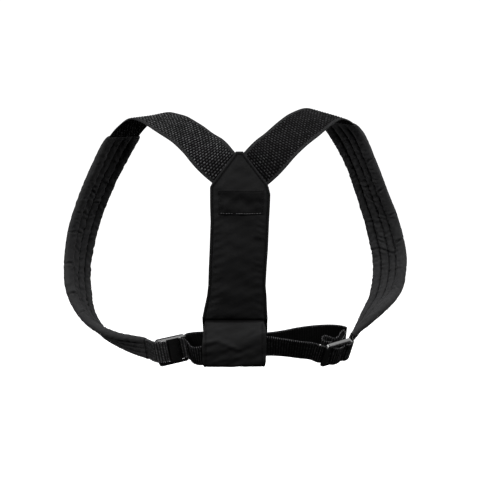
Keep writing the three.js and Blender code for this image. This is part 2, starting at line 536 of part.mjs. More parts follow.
const sides = [
  { side: 'left', rows: STRAP_LEFT, from: PAD_LEFT_FROM, narrows: PAD_LEFT_NARROWS, taper: PAD_LEFT_TAPER, frame: leftFrame, sign: -1 },
  { side: 'right', rows: STRAP_RIGHT, from: PAD_RIGHT_FROM, narrows: PAD_RIGHT_NARROWS, taper: PAD_RIGHT_TAPER, frame: rightFrame, sign: 1 },
];
for (const { side, rows, from, narrows, taper, frame, sign } of sides) {
  const { path } = strapRoute(rows);
  const padFrom = path.row(from + 1), padNarrows = path.row(narrows + 1), padTo = path.length;
  const elasticTo = padFrom + ELASTIC_IN_PAD;

  // elastic, trimmed where the two meet under the peak
  const list = stations(path, 0, elasticTo, 9, 0.1);
  const elasticHere = elasticWide(side);
  let elastic = solid(strap(path, list, elasticHere, ELASTIC_THICK));
  const box = slab(
    [[vec(0, -60, 40), vec(0, -60, 140)], [vec(0, 60, 40), vec(0, 60, 140)]],
    [[vec(-sign * 60, -60, 40), vec(-sign * 60, -60, 140)], [vec(-sign * 60, 60, 40), vec(-sign * 60, 60, 140)]],
  );
  box.translate(middle + sign * GAP / 2, 0, 0);
  elastic = elastic.subtract(solid(box));
  add(`elastic_strap_${side}`, surface(elastic), ELASTIC_LOOK);

  const room = (part) => solid(strap(path, part, (s) => elasticHere(s) + 2 * GAP, ELASTIC_THICK + 2 * GAP));
  panel = panel.subtract(room([-GAP, ...list.filter((s) => s > 0 && s < 45)]));

  // pad with a pocket for the elastic above and one for the anchor loop below
  let pad = solid(padBody(path, padFrom, padNarrows, padTo, taper));
  pad = pad.subtract(room([...list.filter((s) => s > padFrom - 20 && s < elasticTo), elasticTo + GAP]));

  const end = path.at(padTo - ANCHOR_IN_PAD), mouth = path.at(padTo);
  const outward = outSign(path);
  const inPad = (at, k) => ({ p: at.p.clone().addScaledVector(at.n, k * ANCHOR_SPREAD * outward), w: at.w.clone() });
  const round = ANCHOR_ROUND[side].map(frame.row);
  const between = (a, b, lift) => (lift === 0 ? [] : [{
    p: a.p.clone().add(b.p).multiplyScalar(0.5).add(vec(0, 0, lift)), w: a.w.clone().add(b.w).normalize(),
  }]);
  const front = inPad(mouth, 1), rear = inPad(mouth, -1);
  const anchor = route([
    inPad(end, 1), front, ...between(front, round[0], ANCHOR_LIFT[side].front), ...round,
    ...between(round[round.length - 1], rear, ANCHOR_LIFT[side].rear), rear, inPad(end, -1),
  ]);
  const steps = stations(anchor, 0, anchor.length, 5, 0.2);
  add(`anchor_loop_${side}`, ribbon(anchor, steps, WEB_WIDE, WEB_THICK), WEB_LOOK);
  const reach = ANCHOR_IN_PAD + 10;
  const pockets = [
    strap(path, stations(path, padTo - ANCHOR_IN_PAD - GAP, padTo + 4, 5, 0.1), WEB_WIDE + 2 * GAP, 2 * ANCHOR_SPREAD),
    ribbon(anchor, [-GAP, ...steps.filter((s) => s > 0 && s < reach)], WEB_WIDE + 2 * GAP, WEB_THICK + 2 * GAP),
    ribbon(anchor, [...steps.filter((s) => s > anchor.length - reach && s < anchor.length), anchor.length + GAP],
      WEB_WIDE + 2 * GAP, WEB_THICK + 2 * GAP),
  ];
  for (const pocket of pockets) pad = pad.subtract(solid(pocket));
  add(`pad_${side}`, surface(pad), CLOTH);

  // slider, its front face away from the wearer
  const slider = add(`slider_${side}`, sliderBody(frame.facing), PLASTIC);
  const basis = new THREE.Matrix4().makeBasis(frame.along, frame.up, frame.along.clone().cross(frame.up));
  slider.quaternion.setFromRotationMatrix(basis);
  slider.position.copy(frame.middle);
}
add('back_panel', surface(panel), CLOTH);
add('label', labelPatch(), CLOTH);
add('belt_sleeve', beltSleeve(), CLOTH);

const belt = route([
  ...BELT_FAR.map(beltRow), ...BELT_ROUND_LEFT.map(leftFrame.row), ...BELT_NEAR.map(beltRow),
  ...BELT_OVER_RIGHT.map(rightFrame.row), ...BELT_TAIL.map(beltRow),
]);
add('belt_webbing', ribbon(belt, stations(belt, 0, belt.length, 16, 0.3), WEB_WIDE, WEB_THICK), WEB_LOOK);

export default root;
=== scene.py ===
import math

import bpy
import numpy as np
from mathutils import Matrix, Vector


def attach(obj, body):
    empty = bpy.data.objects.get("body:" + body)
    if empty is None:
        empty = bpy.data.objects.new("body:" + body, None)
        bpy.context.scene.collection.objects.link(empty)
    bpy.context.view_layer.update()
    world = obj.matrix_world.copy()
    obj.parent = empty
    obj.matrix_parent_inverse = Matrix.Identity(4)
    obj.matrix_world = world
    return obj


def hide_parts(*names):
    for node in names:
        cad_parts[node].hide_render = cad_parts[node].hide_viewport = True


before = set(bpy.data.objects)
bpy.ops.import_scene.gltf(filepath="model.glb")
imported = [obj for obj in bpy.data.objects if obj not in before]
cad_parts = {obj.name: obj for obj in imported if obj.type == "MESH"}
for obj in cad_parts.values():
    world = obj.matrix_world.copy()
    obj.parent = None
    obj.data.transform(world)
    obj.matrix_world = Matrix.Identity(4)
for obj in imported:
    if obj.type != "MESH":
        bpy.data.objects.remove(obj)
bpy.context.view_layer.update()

# Posture corrector: padded back panel, two elastic shoulder straps that run on
# into padded arm straps, and a webbing belt with two three-bar sliders.
# The tables are in millimetres from the middle of the panel's outer face.
# ------------------------------------------------------------------ sizes
MM = 0.001
SHOULDER_LINE = np.array([0.0, 85.0, 130.0])      # the row's origin in the tables' frame

ELASTIC_WIDE, ELASTIC_THICK = 50.0, 2.0
ELASTIC_SEWN_WIDE = {"left": 44.2, "right": 47.0}
ELASTIC_HIDDEN, ELASTIC_IN_PAD = 10.0, 12.0
PAD_THICK, PAD_WIDE, PAD_END_WIDE = 10.0, 57.6, 28.0
PAD_TOP_THICK, PAD_END_THICK, PAD_TOP_DRAWN, PAD_INWARD = 5.6, 7.2, 0.91, 0.9
PANEL_THICK, TUNNEL_THICK = 5.4, 2.6
SLEEVE_WALL, LABEL_THICK = 1.6, 0.8
LABEL_LEFT, LABEL_RIGHT, LABEL_TOP, LABEL_LOW = -24.5, 29.2, 59.5, 30.3
WEB_WIDE, WEB_THICK = 25.0, 1.5
ANCHOR_IN_PAD, ANCHOR_SPREAD = 10.0, 1.05
ANCHOR_LIFT = {"left": (0, 0), "right": (0, 0)}          # of the front and rear layer, midway to the slider
SLIDER_THICK, SLIDER_TALL, SLIDER_OPEN, SLIDER_CORNER = 4.5, 33.0, 25.6, 4.6
BAR_WIDE, MIDDLE_BAR_WIDE, BAR_IN, BAR_OUT = 6.0, 14.6, 16.2, 20.0

# centre of each shoulder strap and the direction to its outer edge
STRAP = {
    "left": [
        (-17.4, 7.0, 84.0, -0.680, -0.07, -0.730), (-46.4, 31.4, 109.4, -0.760, -0.548, -0.349),
        (-80.8, 61.8, 129.6, -0.702, -0.660, -0.285), (-114.3, 95.1, 134.9, -0.698, -0.716, -0.042),
        (-145.0, 121.4, 107.1, -0.674, -0.736, 0.066), (-168.2, 138.7, 68.0, -0.651, -0.755, 0.074),
        (-188.4, 150.3, 25.5, -0.613, -0.781, 0.118), (-204.4, 152.5, -19.6, -0.548, -0.802, 0.237),
        (-211.0, 139.5, -64.0, -0.455, -0.800, 0.391), (-204.6, 111.8, -102.6, -0.494, -0.700, 0.516),
        (-182.6, 75.1, -125.7, -0.502, -0.623, 0.600), (-148.4, 38.2, -133.8, -0.433, -0.541, 0.721),
        (-111.0, 5.0, -134.4, -0.139, -0.124, 0.983),
    ],
    "right": [
        (18.5, 7.0, 82.4, 0.660, -0.07, -0.748), (46.9, 29.3, 107.4, 0.777, -0.451, -0.438),
        (78.1, 57.9, 129.2, 0.719, -0.529, -0.451), (108.0, 92.1, 138.2, 0.735, -0.665, -0.165),
        (134.1, 119.9, 112.5, 0.718, -0.694, 0.054), (155.2, 135.9, 72.9, 0.657, -0.752, 0.059),
        (172.2, 146.9, 30.8, 0.672, -0.731, 0.117), (187.6, 150.1, -12.3, 0.702, -0.660, 0.266),
        (196.2, 136.4, -55.2, 0.681, -0.622, 0.386), (188.8, 105.4, -88.6, 0.681, -0.594, 0.428),
        (167.4, 67.5, -107.6, 0.586, -0.623, 0.518), (137.4, 31.0, -129.2, 0.060, -0.810, 0.583),
    ],
}
PAD_FROM = {"left": 4.0, "right": 3.58}            # rows of the route
PAD_NARROWS = {"left": 8.7, "right": 8.7}
PAD_TAPER = {"left": 0.65, "right": 2.0}
PAD_LINES = (0.46, 0.04, -0.43)                   # sewn lines across a pad, 1 is its outer edge

# height, left edge, right edge
PANEL_OUTLINE = np.array([
    (103.5, -3.6, 4.6), (97.0, -8.5, 9.6), (86.0, -16.8, 18.0), (75.0, -25.2, 26.4), (66.5, -31.6, 33.0),
    (62.0, -34.0, 34.8), (54.0, -34.0, 36.8), (40.0, -34.0, 36.4), (22.0, -33.5, 35.4), (4.0, -34.2, 34.8),
    (-12.0, -34.8, 34.2), (-34.0, -35.9, 32.8), (-56.0, -36.7, 31.8), (-70.0, -38.4, 33.0), (-85.0, -41.7, 33.6),
    (-97.0, -44.1, 34.4), (-103.0, -43.9, 34.2), (-115.0, -43.2, 34.1), (-130.0, -42.0, 33.3), (-147.0, -40.0, 31.0),
])
SEAM_Z = -99.0
SLEEVE_RIDGE = np.array([(-43.5, -123.5), (-20.0, -124.0), (-2.0, -125.0), (12.0, -119.5), (31.0, -112.0)])
SLEEVE_UPPER = [(0.00, 3.3, 3.2), (0.14, 2.0, 3.0), (0.42, -4.0, 1.8), (0.74, -9.6, 0.6), (1.00, -12.6, 0.0)]
SLEEVE_LOWER = [
    (-133.5, -13.4, 0), (-144.5, -13.2, 0), (-150.2, -12.2, 1.2), (-152.4, -9.0, 2.8),
    (-152.8, -3.0, 3.4), (-151.9, 4.0, 3.6), (-149.9, 8.6, 3.6),
]

# middle, direction along the strap, direction up the bars
SLIDERS = {
    "left": ((-77.6, -3.0, -133.6), (0.830, 0.555, 0.03), (-0.22, 0.25, 0.95)),
    "right": ((116.0, 2.0, -139.8), (-0.770, -0.635, -0.03), (0.240, -0.285, 0.928)),
}
# belt: centre of the webbing and the x and y parts of the direction up its width
BELT_FAR = [
    (131.4, 35.4, -127.4, 0.05, -0.26), (126.8, 32.6, -125.6, 0.04, -0.20), (118.0, 28.5, -123.6, 0, -0.10),
    (98.0, 22.0, -122.3, 0, 0), (73.0, 12.0, -122.2, 0, 0), (50.0, 5.5, -124.8, 0, 0),
    (31.0, 3.0, -126.4, 0, 0), (0.0, 2.6, -125.0, -0.03, 0), (-25.0, 2.6, -125.6, -0.08, 0),
    (-43.0, 4.6, -125.6, -0.20, 0.04), (-53.4, 8.8, -127.6, -0.34, 0.14),
]
BELT_ROUND_LEFT = [(20.6, -4.3, 3.2), (15.8, -3.9, 0.2), (11.4, -3.4, 0), (9.6, 0.0, 0), (10.8, 3.4, 0), (13.4, 4.5, -0.5), (16.6, 4.9, -4.0)]
BELT_NEAR = [
    (-55.0, -2.6, -140.6, -0.17, -0.20), (-48.5, -6.8, -140.4, -0.10, -0.18), (-41.0, -9.0, -138.5, 0, -0.04),
    (-20.0, -9.4, -137.4, 0, 0), (-2.0, -9.4, -136.6, -0.12, 0), (14.0, -9.4, -131.6, -0.20, 0),
    (31.0, -9.2, -127.4, -0.05, -0.06), (52.0, -9.4, -129.0, 0.06, -0.28), (73.0, -10.4, -131.6, 0.12, -0.32),
    (88.0, -11.2, -133.4, 0.20, -0.32),
]
BELT_OVER_RIGHT = [(22.0, -4.2, 1.6), (16.6, -3.9, 0.2), (12.0, -3.3, 0), (9.9, 0.0, 0), (8.0, 3.2, 0), (4.0, 3.9, -0.7), (-4.0, 3.9, -0.7), (-7.8, 3.2, 0), (-8.7, 0.0, 0), (-9.0, -5.0, 0)]
BELT_TAIL = [
    (124.4, 15.0, -132.6, 0.20, -0.32), (127.4, 20.5, -129.4, 0.14, -0.28), (125.6, 24.0, -127.6, 0.10, -0.24),
    (122.6, 21.2, -129.2, 0.10, -0.24), (119.2, 15.8, -132.6, 0.10, -0.26), (114.6, 13.2, -134.8, 0.08, -0.26),
    (109.0, 14.8, -133.8, 0.06, -0.22), (103.2, 15.8, -132.8, 0.06, -0.20), (99.4, 13.8, -133.4, 0.08, -0.24),
    (99.2, 10.8, -135.4, 0.10, -0.30), (102.6, 9.2, -136.8, 0.12, -0.34), (108.0, 9.4, -137.4, 0.14, -0.38),
    (110.6, 9.8, -137.6, 0.14, -0.38),
]
ANCHOR_ROUND = {
    "left": [(-25.8, -7.0, 3.5), (-25.4, 0.6, 1.8), (-20.4, 3.9, 0), (-11.4, 3.4, 0), (-9.6, 0.0, 0), (-11.4, -3.4, 0), (-17.0, -3.9, 0), (-21.6, -7.0, 2.5)],
    "right": [(-20.0, 3.9, 0), (-13.0, 3.4, 0), (-12.0, 0.0, 0), (-13.0, -3.4, 0), (-20.0, -3.9, 0)],
}


# ------------------------------------------------------------------ helpers
def unit(v):
    return v / np.maximum(np.linalg.norm(v, axis=-1, keepdims=True), 1e-12)


def mix(a, b, t):
    return a + (b - a) * t


def smooth(x, low, high):
    t = np.clip((x - low) / (high - low), 0, 1)
    return t * t * (3 - 2 * t)


def hashed(i, j, seed):
    """Even spread of numbers from 0 to 1, one for each pair of whole numbers."""
    v = np.sin(i * 127.1 + j * 311.7 + seed * 74.7) * 43758.5453
    return v - np.floor(v)


def waves(u, v, seed, size, count=9):
    """Soft irregular field, about -1 to 1, whose bumps are about size across."""
    rng = np.random.RandomState(seed)
    total = np.zeros(np.broadcast(u, v).shape)
    for _ in range(count):
        a, f, p = rng.uniform(0, 2 * math.pi), rng.uniform(0.6, 1.5) / size, rng.uniform(0, 2 * math.pi)
        total += np.sin(2 * math.pi * f * (u * math.cos(a) + v * math.sin(a)) + p)
    return total / math.sqrt(count) * 0.9


class Route:
    """Smooth line through rows that hold a point and a width direction."""

    def __init__(self, rows):
        self.p = np.array([r[0] for r in rows], float)
        self.w = np.array([r[1] for r in rows], float)
        self.s = np.concatenate([[0.0], np.cumsum(np.linalg.norm(np.diff(self.p, axis=0), axis=1))])
        self.length = float(self.s[-1])
        self.dp, self.dw = self.slopes(self.p), self.slopes(self.w)

    def slopes(self, v):
        h = np.diff(self.s)[:, None]
        g = np.diff(v, axis=0) / h
        out = np.empty_like(v)
        out[0], out[-1] = g[0], g[-1]
        out[1:-1] = (g[:-1] * h[1:] + g[1:] * h[:-1]) / (h[:-1] + h[1:])
        return out

    def place(self, v, d, at):
        at = np.atleast_1d(np.asarray(at, float))
        i = np.clip(np.searchsorted(self.s, at, "left") - 1, 0, len(self.s) - 2)
        h = (self.s[i + 1] - self.s[i])[:, None]
        t = np.clip((at - self.s[i])[:, None] / h, 0, 1)
        out = (v[i] * (2 * t**3 - 3 * t**2 + 1) + d[i] * h * (t**3 - 2 * t**2 + t)
               + v[i + 1] * (3 * t**2 - 2 * t**3) + d[i + 1] * h * (t**3 - t**2))
        out += d[0] * np.minimum(at, 0)[:, None] + d[-1] * np.maximum(at - self.length, 0)[:, None]
        return out

    def at(self, s):
        s = np.atleast_1d(np.asarray(s, float))
        p, w = self.place(self.p, self.dp, s), unit(self.place(self.w, self.dw, s))
        t = unit(self.place(self.p, self.dp, s + 0.05) - self.place(self.p, self.dp, s - 0.05))
        return p, w, t, unit(np.cross(t, w))

    def row(self, k):
        i = int(k)
        return mix(self.s[i], self.s[min(i + 1, len(self.s) - 1)], k - i)


def grid_normals(P, closed=True):
    """Unit normals of a grid whose columns close on themselves."""
    if closed:
        dc = np.roll(P, -1, 1) - np.roll(P, 1, 1)
    else:
        dc = np.gradient(P, axis=1)
    return unit(np.cross(np.gradient(P, axis=0), dc))


def spread(P, times, axis, closed):
    """The grid with times as many steps along an axis, on a smooth curve through its points."""
    P = np.moveaxis(P, axis, 0)
    n = len(P)
    steps = n if closed else n - 1
    t = np.arange(steps * times + (0 if closed else 1)) / times
    i = np.minimum(np.floor(t).astype(int), steps - 1)
    f = (t - i).reshape(-1, *[1] * (P.ndim - 1))
    at = (lambda k: P[k % n]) if closed else (lambda k: P[np.clip(k, 0, n - 1)])
    a, b, c, d = at(i - 1), at(i), at(i + 1), at(i + 2)
    out = b + 0.5 * f * (c - a + f * (2 * a - 5 * b + 4 * c - d + f * (3 * (b - c) + d - a)))
    return np.moveaxis(out, 0, axis)


def grid_faces(R, C, closed, caps):
    rr, cc = np.meshgrid(np.arange(R - 1), np.arange(C if closed else C - 1), indexing="ij")
    c2 = (cc + 1) % C
    faces = np.stack([rr * C + cc, rr * C + c2, (rr + 1) * C + c2, (rr + 1) * C + cc], -1).reshape(-1, 4).tolist()
    if caps:
        faces.append(list(range(C))[::-1])
        faces.append([(R - 1) * C + k for k in range(C)])
    return faces


def make_object(name, points, faces, material, uv=None, tone=None, smooth_faces=True):
    """Mesh object from points in the tables' frame; uv and tone hold a value for each point."""
    mesh = bpy.data.meshes.new(name)
    co = (np.asarray(points, float).reshape(-1, 3) - SHOULDER_LINE) * MM
    mesh.from_pydata(co.tolist(), [], faces)
    mesh.update()
    volume = sum(0.0 for _ in ())
    tris = np.array([[f[0], f[k], f[k + 1]] for f in faces for k in range(1, len(f) - 1)])
    volume = np.einsum("ij,ij->i", co[tris[:, 0]], np.cross(co[tris[:, 1]], co[tris[:, 2]])).sum()
    if volume < 0:
        mesh.flip_normals()
    if uv is not None:
        layer = mesh.uv_layers.new(name="UVMap")
        loops = np.empty(len(mesh.loops), np.int32)
        mesh.loops.foreach_get("vertex_index", loops)
        layer.uv.foreach_set("vector", np.asarray(uv, np.float32).reshape(-1, 2)[loops].ravel())
    if tone is not None:
        a = mesh.attributes.new("tone", "FLOAT", "POINT")
        a.data.foreach_set("value", np.asarray(tone, np.float32).ravel())
    mesh.polygons.foreach_set("use_smooth", np.full(len(mesh.polygons), smooth_faces))
    mesh.materials.append(material)
    obj = bpy.data.objects.new(name, mesh)
    bpy.context.scene.collection.objects.link(obj)
    return obj


def put(obj, slot, *nodes):
    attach(obj, "root")
    if nodes:
        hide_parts(*nodes)
    return obj


STITCH_RING = np.array([(0.0, -0.5, 0.5), (0.16, 0.25, 0.95), (0.5, 0.55, 1.0), (0.84, 0.25, 0.95), (1.0, -0.5, 0.5)])


def stitches(lines, pitch, length, radius, skip=0.0, seed=0):
    """Thread stitches along lines, each a run of points and of directions out of the cloth."""
    points, faces, sides = [], [], 6
    ang = np.arange(sides) * 2 * math.pi / sides
    for number, (P, N) in enumerate(lines):
        arc = np.concatenate([[0.0], np.cumsum(np.linalg.norm(np.diff(P, axis=0), axis=1))])
        begin = np.arange(0.4 * pitch, arc[-1] - length, pitch)
        begin = begin + (hashed(np.arange(len(begin)), number, seed) - 0.5) * 0.12 * pitch
        if skip:
            begin = begin[hashed(np.arange(len(begin)), number + 50, seed) > skip]
        pick = lambda V, at: np.stack([np.interp(at, arc, V[:, k]) for k in range(3)], -1)
        for b in begin:
            at = b + STITCH_RING[:, 0] * length
            centre, n = pick(P, at), unit(pick(N, at))
            t = unit(pick(P, at + 0.2) - pick(P, at - 0.2))
            side = unit(np.cross(t, n))
            ring = (centre + n * (STITCH_RING[:, 1:2] * radius))[:, None, :] + (
                side[:, None, :] * np.cos(ang)[None, :, None] + n[:, None, :] * 0.75 * np.sin(ang)[None, :, None]
            ) * (STITCH_RING[:, 2] * radius)[:, None, None]
            base = len(points) * len(STITCH_RING) * sides
            points.append(ring.reshape(-1, 3))
            for f in grid_faces(len(STITCH_RING), sides, True, True):
                faces.append([base + k for k in f])
    return np.concatenate(points), faces


def closed_section(outer, inner):
    """One closed ring of columns from a strip's two faces, both given from one edge to the other."""
    return np.concatenate([outer, inner[:, ::-1]], axis=1)


# ------------------------------------------------------------------ materials
def new_material(name):
    m = bpy.data.materials.new(name)
    m.use_nodes = True
    m.node_tree.nodes.clear()
    out = m.node_tree.nodes.new("ShaderNodeOutputMaterial")
    shader = m.node_tree.nodes.new("ShaderNodeBsdfPrincipled")
    m.node_tree.links.new(shader.outputs[0], out.inputs[0])
    return m, m.node_tree, shader


def node(tree, kind, **values):
    n = tree.nodes.new(kind)
    for k, v in values.items():
        setattr(n, k, v)
    return n


def math_node(tree, op, a, b=None):
    n = node(tree, "ShaderNodeMath", operation=op)
    for i, v in enumerate((a, b)):
        if v is None:
            continue
        if isinstance(v, (int, float)):
            n.inputs[i].default_value = v
        else:
            tree.links.new(v, n.inputs[i])
    return n.outputs[0]


def ramp(tree, value, low, high, colours):
    n = node(tree, "ShaderNodeValToRGB")
    tree.links.new(value, n.inputs[0])
    n.color_ramp.elements[0].position, n.color_ramp.elements[1].position = low, high
    for e, c in zip(n.color_ramp.elements, colours):
        e.color = (*c, 1)
    return n.outputs[0]


def noise_node(tree, vector, scale, detail=3.0, rough=0.55):
    n = node(tree, "ShaderNodeTexNoise")
    n.inputs["Scale"].default_value = scale
    n.inputs["Detail"].default_value = detail
    n.inputs["Roughness"].default_value = rough
    if vector is not None:
        tree.links.new(vector, n.inputs["Vector"])
    return n.outputs[0]


def spread_value(tree, value, low, high):
    n = node(tree, "ShaderNodeMapRange")
    tree.links.new(value, n.inputs["Value"])
    n.inputs["To Min"].default_value, n.inputs["To Max"].default_value = low, high
    return n.outputs[0]


def cloth(name, dark, light, rough, specular, sheen, thread, bump, tone=None, sheen_tint=(0.5, 0.5, 0.52)):
    """Woven black cloth. thread is the pitch of its yarns (along, across) in millimetres; tone gives a roughness
    and two more colours, mixed in by the mesh's tone attribute: painted shade in sewn grooves and creases for the sewn
    covers, painted glints on the raised floats and ribs for elastic and webbing."""
    m, tree, shader = new_material(name)
    uv = node(tree, "ShaderNodeUVMap", uv_map="UVMap")
    split = node(tree, "ShaderNodeSeparateXYZ")
    tree.links.new(uv.outputs[0], split.inputs[0])
    turn = 2 * math.pi * 100.0                     # the map's unit is 100 mm
    a = math_node(tree, "SINE", math_node(tree, "MULTIPLY", split.outputs[0], turn / thread[0]))
    b = math_node(tree, "SINE", math_node(tree, "MULTIPLY", split.outputs[1], turn / thread[1]))
    weave = spread_value(tree, math_node(tree, "MULTIPLY", a, b), 0.0, 1.0)
    weave.node.inputs["From Min"].default_value = -1.0
    place = node(tree, "ShaderNodeTexCoord").outputs["Object"]
    broad, fine = noise_node(tree, place, 38.0, 4.0), noise_node(tree, place, 900.0, 2.0)
    patch = math_node(tree, "ADD", math_node(tree, "MULTIPLY", broad, 0.6), math_node(tree, "MULTIPLY", fine, 0.25))
    shade = math_node(tree, "ADD", patch, math_node(tree, "MULTIPLY", weave, 0.15))
    colour = ramp(tree, shade, 0.3, 0.75, (dark, light))
    if tone:
        height = node(tree, "ShaderNodeAttribute", attribute_name="tone").outputs["Fac"]
        high = ramp(tree, fine, 0.3, 0.7, (tone[1], tone[2]))
        both = node(tree, "ShaderNodeMix", data_type="RGBA")
        tree.links.new(height, both.inputs[0])
        tree.links.new(colour, both.inputs[6])
        tree.links.new(high, both.inputs[7])
        colour = both.outputs[2]
        tree.links.new(spread_value(tree, height, rough[1], tone[0]), shader.inputs["Roughness"])
    else:
        tree.links.new(spread_value(tree, shade, rough[1], rough[0]), shader.inputs["Roughness"])
    tree.links.new(colour, shader.inputs["Base Color"])
    shader.inputs["Specular IOR Level"].default_value = specular
    shader.inputs["Sheen Weight"].default_value = sheen
    shader.inputs["Sheen Roughness"].default_value = 0.45
    shader.inputs["Sheen Tint"].default_value = (*sheen_tint, 1)
    lift = math_node(tree, "ADD", math_node(tree, "MULTIPLY", weave, 0.7), math_node(tree, "MULTIPLY", fine, 0.5))
    ridge = node(tree, "ShaderNodeBump")
    ridge.inputs["Strength"].default_value = bump
    ridge.inputs["Distance"].default_value = 0.00025
    tree.links.new(lift, ridge.inputs["Height"])
    tree.links.new(ridge.outputs[0], shader.inputs["Normal"])
    return m


def grey(v, blue=1.03):
    return (v, v, v * blue)


# painted shade: near-black colours, with roughness 0.9, that sewn grooves and creases take through the tone attribute
SEWN_GROOVE_SHADE = (0.9, grey(0.0006), grey(0.0014))           # cloth drawn down into a sewn line
PANEL_CLOTH = cloth("panel_cloth", grey(0.0078), grey(0.0130), (0.62, 0.80), 0.09, 0.04, (0.55, 0.45), 0.35, tone=SEWN_GROOVE_SHADE)
PAD_CLOTH = cloth("pad_cloth", grey(0.0172), grey(0.0280), (0.66, 0.84), 0.09, 0.06, (0.6, 0.5), 0.4, tone=SEWN_GROOVE_SHADE)
SLEEVE_CLOTH = cloth("sleeve_cloth", grey(0.0085), grey(0.0135), (0.58, 0.76), 0.10, 0.04, (0.55, 0.45), 0.35, tone=SEWN_GROOVE_SHADE)
LABEL_CLOTH = cloth("label_cloth", grey(0.0046), grey(0.0078), (0.5, 0.65), 0.06, 0.0, (0.5, 0.35), 0.3)
# tone colours: painted glints on the raised floats
ELASTIC = cloth("elastic_weave", grey(0.0008), grey(0.0016), (0.75, 0.92), 0.04, 0.0, (0.5, 0.7), 0.3,
                tone=(0.45, grey(0.055), grey(0.150)))
# tone colours: painted glints on the ribs
WEBBING = cloth("webbing_weave", grey(0.0008), grey(0.0016), (0.65, 0.85), 0.05, 0.0, (0.9, 0.6), 0.4,
                tone=(0.5, grey(0.090), grey(0.260)))


def thread_material(name, value, rough, specular):
    m, tree, shader = new_material(name)
    place = node(tree, "ShaderNodeTexCoord").outputs["Object"]
    twist = node(tree, "ShaderNodeTexWave", bands_direction="DIAGONAL")
    twist.inputs["Scale"].default_value = 420.0
    twist.inputs["Distortion"].default_value = 1.5
    tree.links.new(place, twist.inputs["Vector"])
    tree.links.new(ramp(tree, twist.outputs[1], 0.2, 0.8, (grey(value * 0.6), grey(value * 1.2))), shader.inputs["Base Color"])
    tree.links.new(spread_value(tree, twist.outputs[1], rough + 0.1, rough - 0.05), shader.inputs["Roughness"])
    shader.inputs["Specular IOR Level"].default_value = specular
    ridge = node(tree, "ShaderNodeBump")
    ridge.inputs["Strength"].default_value = 0.4
    ridge.inputs["Distance"].default_value = 0.0001
    tree.links.new(twist.outputs[1], ridge.inputs["Height"])
    tree.links.new(ridge.outputs[0], shader.inputs["Normal"])
    return m


THREAD = thread_material("black_thread", 0.0045, 0.6, 0.12)
GREY_THREAD = thread_material("grey_thread", 0.085, 0.6, 0.3)


def plastic_material():
    m, tree, shader = new_material("slider_plastic")
    place = node(tree, "ShaderNodeTexCoord").outputs["Object"]
    grain, broad = noise_node(tree, place, 1600.0, 3.0), noise_node(tree, place, 120.0, 3.0)
    tree.links.new(ramp(tree, broad, 0.3, 0.7, (grey(0.0015), grey(0.0030))), shader.inputs["Base Color"])
    tree.links.new(spread_value(tree, math_node(tree, "ADD", math_node(tree, "MULTIPLY", grain, 0.5),
                                                math_node(tree, "MULTIPLY", broad, 0.5)), 0.12, 0.24), shader.inputs["Roughness"])
    shader.inputs["Specular IOR Level"].default_value = 0.9
    ridge = node(tree, "ShaderNodeBump")
    ridge.inputs["Strength"].default_value = 0.12
    ridge.inputs["Distance"].default_value = 0.00015
    tree.links.new(grain, ridge.inputs["Height"])
    tree.links.new(ridge.outputs[0], shader.inputs["Normal"])
    return m


PLASTIC = plastic_material()


# ------------------------------------------------------------------ cloth simulation
SIM_SCALE = 20.0                                  # the solver works on a larger copy


def puff(start, rest, pins, pressure, frames, bending=0.6, stiff=14.0, cap=3.0):
    """A closed ring grid of cover cloth, blown up between its sewn lines. start is where it begins and
    rest the flat cut, both in millimetres; no point moves further than cap."""
    R, C = start.shape[:2]
    scale = MM * SIM_SCALE
    mesh = bpy.data.meshes.new("cover")
    mesh.from_pydata((start.reshape(-1, 3) * scale).tolist(), [], grid_faces(R, C, True, False))
    co = start * scale
    tri = np.einsum("rcj,rcj->", co[:-1], np.cross(np.roll(co, -1, 1)[:-1], co[1:]))
    obj = bpy.data.objects.new("cover", mesh)
    scene = bpy.context.scene
    scene.collection.objects.link(obj)
    normals = np.empty(len(mesh.vertices) * 3, np.float32)
    mesh.vertices.foreach_get("normal", normals)
    middle = start.mean(1, keepdims=True)
    if ((start - middle).reshape(-1, 3) * normals.reshape(-1, 3)).sum() < 0:
        mesh.flip_normals()
    group = obj.vertex_groups.new(name="pin")
    group.add(np.nonzero(pins.ravel())[0].tolist(), 1.0, "REPLACE")
    obj.shape_key_add(name="Basis")
    key = obj.shape_key_add(name="cut")
    key.data.foreach_set("co", (rest.reshape(-1, 3) * scale).ravel().astype(np.float32))
    key.value = 0.0
    mod = obj.modifiers.new("cloth", "CLOTH")
    st = mod.settings
    st.rest_shape_key = key
    st.vertex_group_mass = "pin"
    st.quality = 7
    st.mass = 0.12
    st.tension_stiffness = st.compression_stiffness = stiff
    st.shear_stiffness = 4.0
    st.bending_stiffness = bending
    st.tension_damping = st.compression_damping = st.shear_damping = 8.0
    st.bending_damping = 0.6
    st.air_damping = 3.0
    st.use_pressure = True
    st.uniform_pressure_force = pressure
    st.effector_weights.gravity = 0.0
    mod.point_cache.frame_start, mod.point_cache.frame_end = 1, frames
    for f in range(1, frames + 1):
        scene.frame_set(f)
    shown = obj.evaluated_get(bpy.context.evaluated_depsgraph_get())
    got = np.empty(len(shown.data.vertices) * 3, np.float32)
    shown.data.vertices.foreach_get("co", got)
    out = got.reshape(R, C, 3).astype(float) / scale
    scene.frame_set(1)
    bpy.data.objects.remove(obj)
    bpy.data.meshes.remove(mesh)
    move = out - start
    far = np.linalg.norm(move, axis=-1, keepdims=True)
    return start + move * np.minimum(1.0, cap * np.tanh(far / cap) / np.maximum(far, 1e-9))


